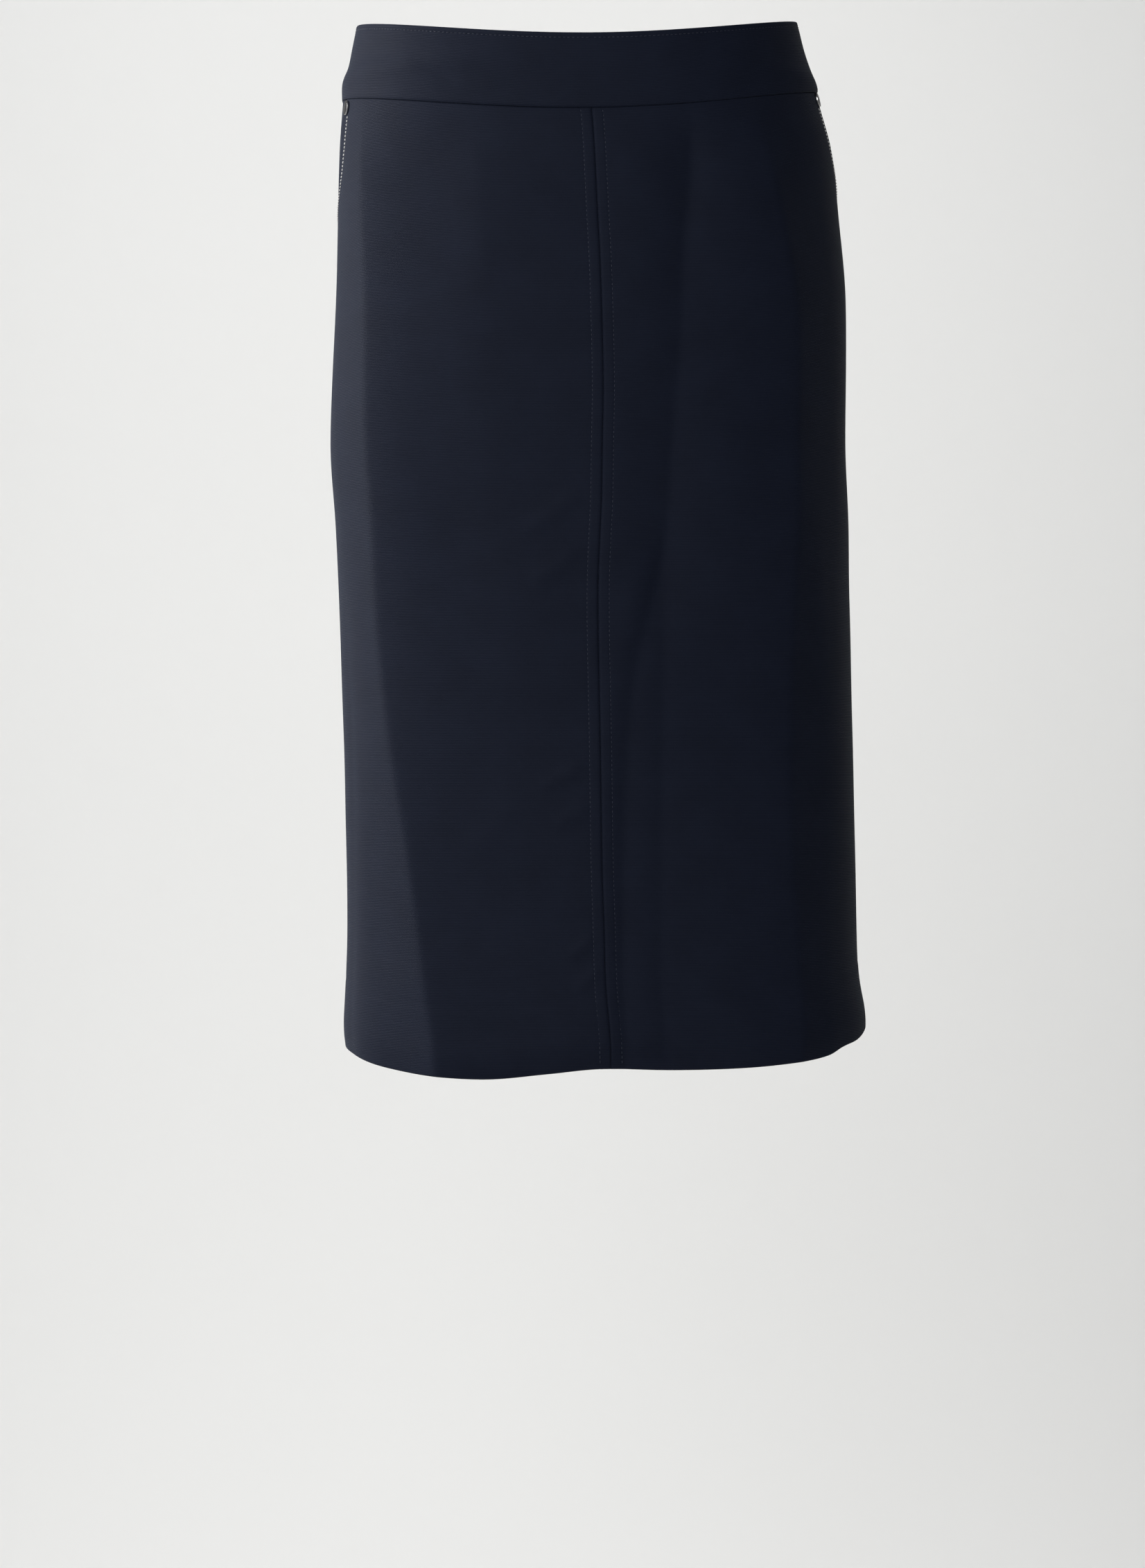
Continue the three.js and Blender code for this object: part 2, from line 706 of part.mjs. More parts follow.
function addPull(stand) {
  const headRim = 0.9;
  const slotHalfX = archWidth / 2 + 0.4;
  const slotHalfZ = archThick / 2 + 0.4;
  const headTop = -(archRadius - slotHalfZ - headRim);
  const headBottom = -(archRadius + slotHalfZ + headRim);
  const dropMiddle = headTop - pullLength + pullDropHalf;
  const shape = new THREE.Shape();
  shape.moveTo(-pullHeadHalf + 0.6, headTop);
  shape.lineTo(pullHeadHalf - 0.6, headTop);
  shape.quadraticCurveTo(pullHeadHalf, headTop, pullHeadHalf, headTop - 0.7);
  shape.lineTo(pullHeadHalf, headBottom + 0.7);
  shape.quadraticCurveTo(pullNeckHalf, headBottom, pullNeckHalf, headBottom - 2.5);
  shape.quadraticCurveTo(pullNeckHalf + 0.1, dropMiddle + 6, pullDropHalf, dropMiddle);
  shape.absarc(0, dropMiddle, pullDropHalf, 0, -Math.PI, true);
  shape.quadraticCurveTo(-pullNeckHalf - 0.1, dropMiddle + 6, -pullNeckHalf, headBottom - 2.5);
  shape.quadraticCurveTo(-pullNeckHalf, headBottom, -pullHeadHalf, headBottom + 0.7);
  shape.lineTo(-pullHeadHalf, headTop - 0.7);
  shape.quadraticCurveTo(-pullHeadHalf, headTop, -pullHeadHalf + 0.6, headTop);
  const slot = new THREE.Path();
  slot.moveTo(-slotHalfX, -archRadius - slotHalfZ);
  slot.lineTo(slotHalfX, -archRadius - slotHalfZ);
  slot.lineTo(slotHalfX, -archRadius + slotHalfZ);
  slot.lineTo(-slotHalfX, -archRadius + slotHalfZ);
  slot.closePath();
  shape.holes.push(slot);
  const pull = new THREE.ExtrudeGeometry(shape, { depth: pullThick, bevelEnabled: false, curveSegments: 6 });
  pull.rotateX(Math.PI / 2).translate(0, archOut + pullThick / 2, 0);
  addMesh(stand, "zip_pull", pull, colours.metal);
}

function addZipSlider() {
  const drop = topDrop(1) + sliderDrop + sliderLength / 2;
  const stand = standOnSkin(halfRound(drop), drop, 0);
  addSlider(stand);
  addPull(stand);
}

addFronts();
addBacks();
addHipPieces();
addWaistband();
addZipTapes();
addRivets();
addZipSlider();

export default skirt;
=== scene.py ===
"""A navy pencil skirt in its worn form: cloth, stitching, rivets and zip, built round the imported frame.

A place on the skirt is an arc from the centre front, positive towards the wearer's left, and a drop below the
waist, both in millimetres. A turn is an arc's share of half the way round, from -1 to 1.
"""

import math

import bmesh
import bpy
import numpy as np
from mathutils import Matrix, Vector


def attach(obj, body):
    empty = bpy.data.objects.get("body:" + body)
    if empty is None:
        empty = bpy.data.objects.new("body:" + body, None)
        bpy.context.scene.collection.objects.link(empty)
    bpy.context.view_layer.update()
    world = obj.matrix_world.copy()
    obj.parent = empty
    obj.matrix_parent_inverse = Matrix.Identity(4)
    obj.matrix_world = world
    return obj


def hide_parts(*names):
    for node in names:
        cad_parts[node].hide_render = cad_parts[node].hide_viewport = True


bl_info = {
    "name": "Pencil Skirt",
    "version": (1, 0, 0),
    "blender": (4, 5, 0),
    "location": "View3D > Sidebar > Skirt",
    "description": "Dresses the packed pencil skirt with cloth, stitching, rivets and a zip",
    "category": "Object",
}

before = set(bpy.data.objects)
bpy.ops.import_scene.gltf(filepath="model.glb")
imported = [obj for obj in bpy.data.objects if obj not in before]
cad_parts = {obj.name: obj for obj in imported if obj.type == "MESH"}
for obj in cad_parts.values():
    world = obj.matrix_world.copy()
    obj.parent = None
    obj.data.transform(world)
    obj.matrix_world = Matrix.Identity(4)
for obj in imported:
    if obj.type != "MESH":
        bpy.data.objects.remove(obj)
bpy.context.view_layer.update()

MM = 0.001

# The cut, in millimetres, as the solids have it
WAIST_DIP, WAIST_RISE, WAIST_TILT = 25.0, 6.0, 3.2
BAND_HEIGHT, BAND_SLANT, BAND_TILT, BAND_PROUD = 49.5, 0.7, 1.3, 1.0
HEM_DEPTH, SEAM_ALLOWANCE, DART_LENGTH = 45.0, 14.0, 110.0
POCKET_WIDTH, POCKET_LENGTH, POCKET_UNDERLAP, HIP_PIECE_BELOW = 47.0, 75.0, 30.0, 10.0
ZIP_LENGTH, ZIP_TAPE_WIDTH, ZIP_GAP = 185.0, 12.0, 1.5
CLOTH_THICK, TURNED_THICK, BAND_THICK, TAPE_THICK = 1.2, 0.8, 2.4, 0.8
LAYER_GAP = 0.5
UNDER_OUT = -(CLOTH_THICK + TURNED_THICK + LAYER_GAP)  # the face of a layer that lies behind the cloth
TAPE_OUT = UNDER_OUT - 0.2

# Stitch lines: from the centre seam, from the pocket's edge and from the waistband's upper edge. The white
# thread is thicker than the navy one, and a share of each white stitch's pitch shows. The waistband's
# stitches stop at a turn beside the zip.
TOPSTITCH_OFFSET, POCKET_STITCH, BAND_STITCH = 7.2, 5.0, 3.6
POCKET_THREAD, POCKET_STITCH_SHARE, BAND_STITCH_STOP = 1.8, 0.68, 0.992

# The hem turns in over its last stretch, most of all beside the centre front
HEM_TURN_LENGTH, HEM_TURN_IN, HEM_TURN_MORE, HEM_TURN_AT, HEM_TURN_SPREAD = 20, 2.0, 1.4, -0.06, 0.17

# Rivets, with the insets and rises that shape the cap's face, and the reach and height of the painted shade
# in its sunk middle
RIVET_BELOW, RIVET_INSET, RIVET_RADIUS, RIVET_DEPTH, RIVET_OUT = 6.4, 1.5, 4.8, 1.1, 0.3
RIVET_FACE = (
    (0.45, 0.5), (0.5, 0.28), (0.5, 0.0), (0.45, -0.3), (0.3, -0.95), (0.9, -0.05), (0.3, 0.6), (0.45, 0.25),
)
RIVET_SHADE_RADIUS, RIVET_SHADE_HEIGHT = 2.75, 1.6

# The zip's slider and pull, and its teeth
SLIDER_DROP, SLIDER_LENGTH, SLIDER_WIDTH, SLIDER_TAPER = 4.0, 9.0, 4.8, 0.62
PLATE_THICK, NECK_WIDTH, NECK_LENGTH, NECK_UP = 1.0, 0.7, 4.0, 1.2
OUTER_PLATE_OUT = BAND_PROUD + 0.4
INNER_PLATE_OUT = TAPE_OUT - TAPE_THICK - LAYER_GAP - PLATE_THICK
ARCH_RADIUS, ARCH_THREAD, ARCH_SPREAD = 2.9, 0.5, 1.4
PULL_THICK, PULL_WIDTH, PULL_HEAD, PULL_PLAY = 0.9, 4.4, 3.6, 0.35
SLOT_WIDTH, SLOT_DEPTH, SLOT_HEIGHT, SLOT_RIM = 2.2, 4.0, 1.8, 0.9
ARCH_OUT = OUTER_PLATE_OUT + PLATE_THICK + PULL_PLAY + PULL_THICK / 2
PULL_TOP = -(ARCH_RADIUS - SLOT_HEIGHT / 2 - SLOT_RIM)
PULL_STEPS = ((2.4, 0.55), (3.2, 1.0), (3.4, 1.28), (3.6, 1.34), (2.6, 1.16), (1.8, 0.92), (0.9, 0.62))
TOOTH_PITCH, TOOTH_LENGTH, TOOTH_WIDTH, TOOTH_SHIFT = 0.95, 1.9, 0.62, 0.35

# How a cloth edge is rounded, outside and inside, and where its grid is finer
EDGE_ROUND, INNER_ROUND = 0.78, 0.38
EDGE_STEPS = [0, 0.1, 0.3, 0.8, 1.6]
FAR = 99.0  # further from an edge than any rounding reaches

# The worn form: where its middle lies across, half its width, its reach to the front and the back, and how
# square the section is
SECTIONS = [
    {"drop": -10, "middle": -1.2, "half": 144.4, "front": 98, "back": 105, "square": 2.15},
    {"drop": 0, "middle": -1, "half": 148, "front": 100, "back": 108, "square": 2.15},
    {"drop": 18, "middle": -0.6, "half": 152.2, "front": 103, "back": 112, "square": 2.15},
    {"drop": 32, "middle": 0.3, "half": 156, "front": 105, "back": 115, "square": 2.15},
    {"drop": 42, "middle": 0.4, "half": 159.9, "front": 106, "back": 117, "square": 2.2},
    {"drop": 52, "middle": 1.1, "half": 160.9, "front": 107, "back": 119, "square": 2.2},
    {"drop": 85, "middle": 4.3, "half": 166.5, "front": 110, "back": 125, "square": 2.22},
    {"drop": 130, "middle": 6.2, "half": 169.5, "front": 114, "back": 132, "square": 2.25},
    {"drop": 190, "middle": 7.9, "half": 172.7, "front": 117, "back": 138, "square": 2.3},
    {"drop": 285, "middle": 5.8, "half": 174.2, "front": 118, "back": 137, "square": 2.35},
    {"drop": 340, "middle": 8.4, "half": 173.6, "front": 118.5, "back": 132, "square": 2.38},
    {"drop": 390, "middle": 9.9, "half": 172.7, "front": 119, "back": 126, "square": 2.4},
    {"drop": 500, "middle": 13.1, "half": 172.1, "front": 121, "back": 117, "square": 2.45},
    {"drop": 610, "middle": 15, "half": 172.3, "front": 123, "back": 114, "square": 2.45},
    {"drop": 645, "middle": 15.5, "half": 173.5, "front": 124, "back": 114, "square": 2.45},
    {"drop": 680, "middle": 18, "half": 177.6, "front": 125, "back": 116, "square": 2.4},
    {"drop": 715, "middle": 18.6, "half": 179.2, "front": 126, "back": 117, "square": 2.4},
]
FRONT_SEAM = [
    {"drop": 0, "arc": -4.4},
    {"drop": 110, "arc": -4.2},
    {"drop": 190, "arc": -3.2},
    {"drop": 260, "arc": 0},
    {"drop": 300, "arc": -0.8},
    {"drop": 370, "arc": -6.3},
    {"drop": 410, "arc": -7.9},
    {"drop": 480, "arc": -8.8},
    {"drop": 560, "arc": -9.4},
    {"drop": 625, "arc": -8.5},
    {"drop": 715, "arc": -7.6},
]
SIDE_SEAMS = [
    {"drop": 0, "left": 19, "right": 24},
    {"drop": 330, "left": 18, "right": 22},
    {"drop": 560, "left": 4, "right": 18},
    {"drop": 715, "left": -25, "right": 15},
]
HEM_LINE = [
    {"turn": -1, "drop": 690},
    {"turn": -0.75, "drop": 689},
    {"turn": -0.5, "drop": 692},
    {"turn": -0.42, "drop": 695.4},
    {"turn": -0.34, "drop": 700.6},
    {"turn": -0.26, "drop": 704.4},
    {"turn": -0.18, "drop": 705.8},
    {"turn": -0.1, "drop": 702.2},
    {"turn": -0.03, "drop": 699},
    {"turn": 0.07, "drop": 700},
    {"turn": 0.17, "drop": 699.1},
    {"turn": 0.25, "drop": 696.2},
    {"turn": 0.3, "drop": 693.2},
    {"turn": 0.335, "drop": 688.4},
    {"turn": 0.38, "drop": 685},
    {"turn": 0.44, "drop": 679},
    {"turn": 0.5, "drop": 678},
    {"turn": 0.7, "drop": 682},
    {"turn": 1, "drop": 690},
]

# Long folds, each along a line of (drop, arc) places. The widths are how far its two sides slope away,
# towards the wearer's right and left, "round" is how soft its bottom or top is, and a rise below 0 sinks
# the cloth. "starts" and "ends" are a drop each, with the length over which the fold opens or closes there.
FRONT_FOLDS = [
    # the front's two turns towards the hips
    {
        "line": [
            (60, -166), (148, -165.5), (210, -163), (318, -158.5), (412, -156), (491, -148), (562, -136),
            (661, -124), (720, -121),
        ],
        "widths": (19, 30), "round": 1.6, "rise": 6.4, "starts": (50, 70), "ends": (900, 50),
    },
    {
        "line": [
            (60, 108), (135, 119), (210, 130.5), (311, 131), (437, 120), (537, 116), (653, 121), (720, 119),
        ],
        "widths": (32, 19), "round": 2.5, "rise": 5.8, "starts": (50, 90), "ends": (900, 50),
    },
    # the long valley from the waistband down to the stitching, and the one that parts from it
    {
        "line": [(80, 61.5), (121, 58.5), (164, 52.5), (239, 50), (294, 46), (363, 37), (420, 27)],
        "widths": (20, 22), "round": 0.8, "rise": -4.2, "starts": (62, 55), "ends": (430, 110),
    },
    {
        "line": [(80, 63), (121, 61), (164, 55), (200, 52)],
        "widths": (10, 6), "round": 1.5, "rise": -1.0, "starts": (75, 30), "ends": (200, 80),
    },
    {
        "line": [(330, 43), (363, 37), (393, 29), (438, 16), (487, 9.5), (562, 5), (661, 3), (720, 2)],
        "widths": (7, 16), "round": 0.8, "rise": -2.2, "starts": (330, 50), "ends": (900, 50),
    },
    {
        "line": [(340, 38), (410, 36), (463, 33.5), (562, 30), (661, 28.5), (720, 28)],
        "widths": (12, 34), "round": 1.0, "rise": -2.6, "starts": (340, 60), "ends": (900, 50),
    },
    {
        "line": [(80, -81.5), (164, -80), (220, -80)],
        "widths": (18, 18), "round": 4, "rise": 1.3, "starts": (78, 40), "ends": (230, 70),
    },
]
# Softer folds round the sides and the back
SOFT_FOLDS = [
    {"line": [(300, 148), (480, 156), (680, 150)], "width": 14, "round": 6, "rise": 1.0, "opening": 90},
    {"line": [(330, -212), (500, -205), (690, -214)], "width": 14, "round": 6, "rise": -1.2, "opening": 90},
    {"line": [(380, 246), (540, 252), (690, 242)], "width": 14, "round": 6, "rise": -1.6, "opening": 80},
    {"line": [(300, -292), (480, -300), (690, -290)], "width": 16, "round": 6, "rise": 2.0, "opening": 100},
    {"line": [(250, -372), (430, -366), (690, -378)], "width": 13, "round": 5, "rise": -2.3, "opening": 100},
    {"line": [(280, 330), (470, 336), (690, 322)], "width": 15, "round": 5, "rise": 2.0, "opening": 100},
    {"line": [(240, 392), (420, 380), (680, 388)], "width": 12, "round": 5, "rise": -2.1, "opening": 100},
    {"line": [(320, -432), (500, -440), (690, -430)], "width": 13, "round": 6, "rise": 1.6, "opening": 90},
    {"line": [(380, 440), (540, 446), (690, 438)], "width": 13, "round": 6, "rise": 1.4, "opening": 80},
]


def soft_fold(fold):
    """A soft fold with one slope to both sides, open from its line's first place down past the hem."""
    return {
        **fold, "widths": (fold["width"], fold["width"]), "starts": (fold["line"][0][0], fold["opening"]),
        "ends": (760, 80),
    }


LONG_FOLDS = FRONT_FOLDS + [soft_fold(fold) for fold in SOFT_FOLDS]

# Short creases through three (arc, drop) places, with a width to each side and a rise
DRAG_LINES = [
    {"start": (-13, 321), "middle": (-34, 338), "end": (-57, 352), "width": 6, "rise": 0.8},
    {"start": (-16, 359), "middle": (-35, 375), "end": (-53, 386), "width": 6, "rise": 0.8},
    {"start": (-19, 500), "middle": (-34, 510), "end": (-52, 517), "width": 5, "rise": 0.8},
    {"start": (-17, 527), "middle": (-28, 535), "end": (-42, 542), "width": 5, "rise": 0.7},
    {"start": (-15, 611), "middle": (-23, 620), "end": (-34, 628), "width": 4, "rise": 0.8},
    {"start": (-12, 633), "middle": (-20, 641), "end": (-30, 648), "width": 4, "rise": 0.8},
    {"start": (-60, 520), "middle": (-80, 545), "end": (-96, 560), "width": 8, "rise": 0.35},
    {"start": (36, 560), "middle": (64, 574), "end": (96, 580), "width": 9, "rise": 0.3},
    {"start": (430, 70), "middle": (380, 92), "end": (320, 104), "width": 9, "rise": 0.5},
    {"start": (-430, 72), "middle": (-382, 96), "end": (-322, 106), "width": 9, "rise": 0.5},
    {"start": (420, 330), "middle": (370, 350), "end": (310, 356), "width": 10, "rise": 0.6},
    {"start": (-424, 340), "middle": (-372, 362), "end": (-314, 366), "width": 10, "rise": 0.6},
]
BAND_WRINKLES = [
    {"start": (-101, 62), "middle": (-115, 52), "end": (-134, 39), "width": 4, "rise": 0.35},
    {"start": (-88, 60), "middle": (-104, 48), "end": (-124, 34), "width": 4, "rise": -0.3},
    {"start": (-60, 62), "middle": (-76, 52), "end": (-96, 42), "width": 4, "rise": 0.25},
    {"start": (34, 34), "middle": (52, 46), "end": (78, 58), "width": 5, "rise": 0.2},
    {"start": (300, 4), "middle": (330, 16), "end": (350, 30), "width": 5, "rise": 0.3},
    {"start": (-300, 6), "middle": (-328, 18), "end": (-352, 32), "width": 5, "rise": 0.3},
]


# Reading the cut


def read_table(rows, key, column, places):
    """A table's column at places between its rows, on a smooth curve through them."""
    keys = np.array([row[key] for row in rows], dtype=float)
    values = np.array([row[column] for row in rows], dtype=float)
    slopes = np.empty_like(values)
    slopes[1:-1] = (values[2:] - values[:-2]) / (keys[2:] - keys[:-2])
    slopes[0] = (values[1] - values[0]) / (keys[1] - keys[0])
    slopes[-1] = (values[-1] - values[-2]) / (keys[-1] - keys[-2])
    places = np.asarray(places, dtype=float)
    after = np.clip(np.searchsorted(keys, places, side="right"), 1, len(keys) - 1)
    before = after - 1
    gap = keys[after] - keys[before]
    t = np.clip((places - keys[before]) / gap, 0, 1)
    return (
        values[before] * (2 * t**3 - 3 * t**2 + 1)
        + slopes[before] * gap * (t**3 - 2 * t**2 + t)
        + values[after] * (3 * t**2 - 2 * t**3)
        + slopes[after] * gap * (t**3 - t**2)
    )


def smooth(share):
    """A step from 0 to 1 with soft ends."""
    kept = np.clip(share, 0, 1)
    return kept * kept * (3 - 2 * kept)


def bell(offset, width):
    """A soft bump, 1 at no offset and near 0 past twice the width."""
    return np.exp(-((offset / width) ** 2))


class WornForm:
    """The bare form on an even grid, by drop and by share of the way from the centre front to the back."""

    def __init__(self, low=-14.0, high=716.0, steps=720):
        self.low = low
        self.drops = np.arange(low, high + 1)
        angles = np.linspace(0, math.pi, steps + 1)
        sine, cosine = np.sin(angles), np.cos(angles)
        shares = np.linspace(0, 1, steps + 1)
        self.steps = steps
        self.x = np.empty((len(self.drops), steps + 1))
        self.y = np.empty_like(self.x)
        self.round = np.empty(len(self.drops))
        self.widest = np.empty(len(self.drops))
        sizes = {c: read_table(SECTIONS, "drop", c, self.drops) for c in ("half", "front", "back", "square")}
        self.middle = read_table(SECTIONS, "drop", "middle", self.drops)
        for i in range(len(self.drops)):
            depth = np.where(cosine > 0, sizes["front"][i], sizes["back"][i])
            square = sizes["square"][i]
            power = np.abs(sine / sizes["half"][i]) ** square + np.abs(cosine / depth) ** square
            reach = power ** (-1 / square)
            x, y = reach * sine, -reach * cosine
            arcs = np.concatenate([[0], np.cumsum(np.hypot(np.diff(x), np.diff(y)))])
            self.round[i] = arcs[-1]
            self.widest[i] = arcs[steps // 2]
            self.x[i] = np.interp(shares, arcs / arcs[-1], x)
            self.y[i] = np.interp(shares, arcs / arcs[-1], y)

    def along(self, column, drop):
        return np.interp(drop, self.drops, column)

    def point(self, arc, drop):
        row = np.clip(np.asarray(drop) - self.low, 0, len(self.drops) - 1.001)
        share = np.clip(np.abs(arc) / self.along(self.round, drop), 0, 1) * self.steps
        r, s = row.astype(int), np.minimum(share.astype(int), self.steps - 1)
        fr, fs = row - r, share - s

        def blend(grid):
            upper = grid[r, s] * (1 - fs) + grid[r, s + 1] * fs
            lower = grid[r + 1, s] * (1 - fs) + grid[r + 1, s + 1] * fs
            return upper * (1 - fr) + lower * fr

        side = np.where(np.asarray(arc) < 0, -1.0, 1.0)
        x = self.along(self.middle, drop) + side * blend(self.x)
        return np.stack([x, blend(self.y), -np.asarray(drop, dtype=float)], axis=-1)

    def normal(self, arc, drop, step=1.0):
        limit = self.along(self.round, drop) - step
        centre = np.clip(arc, -limit, limit)
        across = self.point(centre + step, drop) - self.point(centre - step, drop)
        up = self.point(centre, drop - step) - self.point(centre, drop + step)
        normal = np.cross(across, up)
        return normal / np.linalg.norm(normal, axis=-1, keepdims=True)


FORM = WornForm()


def half_round(drop):
    """The arc from the centre front to the centre back."""
    return FORM.along(FORM.round, drop)


def top_drop(turn):
    """The waistband's upper edge."""
    facing = np.cos(math.pi * turn)
    front = WAIST_DIP * np.clip(facing, 0, 1) ** 1.3
    back = -WAIST_RISE * np.clip(-facing, 0, 1) ** 2
    return front + back - WAIST_TILT * np.sin(math.pi * turn)


def seam_drop(turn):
    """The seam between the waistband and the panels."""
    sideways = np.sin(math.pi * turn)
    return top_drop(turn) + BAND_HEIGHT - BAND_SLANT * sideways**2 - BAND_TILT * sideways


def hem_drop(turn):
    return read_table(HEM_LINE, "turn", "drop", turn)


def front_seam_arc(drop):
    return read_table(FRONT_SEAM, "drop", "arc", drop)


def side_seam_arc(drop, side):
    behind = read_table(SIDE_SEAMS, "drop", "left" if side > 0 else "right", drop)
    return side * (FORM.along(FORM.widest, drop) + behind)


def pocket_top_drop(side):
    """Where a pocket's mouth starts, at the waistband's seam. A side is 1 for the left, -1 for the right."""
    return float(seam_drop(np.float64(side * 0.44)))


def pocket_edge_arc(drop, side):
    """The pocket's scooped edge, which runs back into the side seam."""
    share = np.clip((drop - pocket_top_drop(side)) / POCKET_LENGTH, 0, 1)
    return side_seam_arc(drop, side) - side * POCKET_WIDTH * (1 - share**4) ** 0.8


def back_gap(drop):
    """Half the gap between the back panels, which the zip holds open and which closes below it."""
    return ZIP_GAP * (1 - smooth((drop - ZIP_LENGTH) / 20)) / 2


def crease_lift(arc, drop, creases):
    """How far creases lift the cloth: each is a soft ridge or groove along a curve through three places."""
    lift = np.zeros(np.shape(arc))
    steps = np.linspace(0, 1, 33)
    for crease in creases:
        a, b, c = (np.array(crease[k], dtype=float) for k in ("start", "middle", "end"))
        bend = 2 * b - (a + c) / 2
        path = (
            np.outer((1 - steps) ** 2, a) + np.outer(2 * steps * (1 - steps), bend) + np.outer(steps**2, c)
        )
        reach = 3 * crease["width"]
        low, high = path.min(axis=0) - reach, path.max(axis=0) + reach
        near = (arc > low[0]) & (arc < high[0]) & (drop > low[1]) & (drop < high[1])
        if not near.any():
            continue
        places = np.stack([arc[near], drop[near]], axis=-1)
        offsets = np.linalg.norm(places[:, None, :] - path[None, :, :], axis=2)
        nearest = offsets.argmin(axis=1)
        distance = offsets[np.arange(len(nearest)), nearest]
        fade = smooth(steps[nearest] / 0.3) * smooth((1 - steps[nearest]) / 0.22)
        lift[near] += crease["rise"] * fade * bell(distance, crease["width"])
    return lift


def fold_lift(arc, drop):
    """How far the long folds lift the cloth. The two slopes of a fold meet along its line."""
    lift = np.zeros(np.shape(arc))
    for fold in LONG_FOLDS:
        rows = [{"drop": place[0], "arc": place[1]} for place in fold["line"]]
        offset = arc - read_table(rows, "drop", "arc", drop)
        width = np.where(offset < 0, *fold["widths"])
        away = np.sqrt(offset**2 + fold["round"] ** 2) - fold["round"]
        first, opening = fold["starts"]
        last, closing = fold["ends"]
        fade = smooth((drop - first) / opening) * smooth((last - drop) / closing)
        lift += fold["rise"] * fade * np.clip(1 - away / (2.2 * width), 0, 1) ** 2
    return lift


def slow_waves(arc, drop):
    """The faint unevenness that any hanging cloth has."""
    wave = 0.16 * np.sin(arc / 23 + 1.3 * np.sin(drop / 61)) * np.sin(drop / 37 + 0.7)
    wave += 0.10 * np.sin(arc / 11 - drop / 47 + 2.1) + 0.06 * np.sin(drop / 13 + arc / 29)
    return wave * smooth((drop - 60) / 60)


def skin_point(arc, drop, out=0.0):
    """A point on the cloth's face with its folds, or out from it."""
    arc, drop = np.asarray(arc, dtype=float), np.asarray(drop, dtype=float)
    lift = fold_lift(arc, drop) + crease_lift(arc, drop, DRAG_LINES + BAND_WRINKLES) + slow_waves(arc, drop)
    return FORM.point(arc, drop) + FORM.normal(arc, drop) * (lift + out)[..., None]


# Cloth as grids


def even(count):
    return [("share", (i + 1) / (count + 1)) for i in range(count)]


def spread(marks, low, high):
    """Places between low and high. A mark is a distance from the start or the end, or a share of what is
    left between the last of one and the first of the other."""
    first = max((m[1] for m in marks if m[0] == "start"), default=0.0)
    last = max((m[1] for m in marks if m[0] == "end"), default=0.0)
    columns = []
    for kind, value in marks:
        if kind == "start":
            columns.append(low + value)
        elif kind == "end":
            columns.append(high - value)
        else:
            columns.append(low + first + (high - last - low - first) * value)
    return np.stack(columns, axis=-1)


def lay_grid(edges, span, columns, rows):
    """Arcs, drops and turns of a piece's grid, with its rows parallel to its own top and bottom edges."""
    turn = np.zeros((len(rows), len(columns)))
    drop = arc = None
    for _ in range(5):
        top, bottom = span(turn)
        grid = spread(rows, top, bottom)
        drop = np.stack([grid[i, :, i] for i in range(len(rows))])
        start, stop = edges(drop)
        grid = spread(columns, start, stop)
        arc = np.stack([grid[:, j, j] for j in range(len(columns))], axis=-1)
        turn = arc / half_round(drop)
    return arc, drop, turn


def rolled(distance, radius):
    """How far a face sinks close to a folded or cut edge, so that the edge is round."""
    gone = 1 - np.clip(distance / radius, 0.0, 1.0)
    return radius * (1 - np.sqrt(1 - gone**2))


def line_distance(arc, drop, line):
    """Distance along the cloth from each place to a line of places."""
    found = np.full(np.shape(arc), 1e9)
    for (a0, d0), (a1, d1) in zip(line[:-1], line[1:]):
        run = np.array([a1 - a0, d1 - d0])
        share = np.clip(((arc - a0) * run[0] + (drop - d0) * run[1]) / (run @ run + 1e-9), 0, 1)
        found = np.minimum(found, np.hypot(arc - a0 - share * run[0], drop - d0 - share * run[1]))
    return found


def shell_faces(rows, columns):
    """Faces of a closed shell between an outer grid and an inner one."""
    count = rows * columns
    index = np.arange(count).reshape(rows, columns)
    a, b, c, d = index[:-1, :-1], index[1:, :-1], index[1:, 1:], index[:-1, 1:]
    outer = np.stack([a, b, c, d], axis=-1).reshape(-1, 4)
    inner = np.stack([a, d, c, b], axis=-1).reshape(-1, 4) + count
    rims = []
    for line, flip in ((index[:, 0], False), (index[:, -1], True), (index[0], True), (index[-1], False)):
        here, there = line[:-1], line[1:]
        quad = [here, here + count, there + count, there]
        rims.append(np.stack(quad[::-1] if flip else quad, axis=-1))
    return np.concatenate([outer, inner, *rims])


def new_object(name, points, faces, uvs, material):
    """A mesh from points and their places along the grain, both in millimetres."""
    mesh = bpy.data.meshes.new(name)
    mesh.from_pydata((np.asarray(points) * MM).tolist(), [], [tuple(map(int, f)) for f in faces])
    mesh.update()
    layer = mesh.uv_layers.new(name="Grain")
    loops = np.empty(len(mesh.loops), dtype=np.int32)
    mesh.loops.foreach_get("vertex_index", loops)
    layer.data.foreach_set("uv", (np.asarray(uvs)[loops] * MM).astype(np.float32).ravel())
    mesh.polygons.foreach_set("use_smooth", np.ones(len(mesh.polygons), dtype=bool))
    mesh.materials.append(material)
    obj = bpy.data.objects.new(name, mesh)
    bpy.context.scene.collection.objects.link(obj)
    return obj


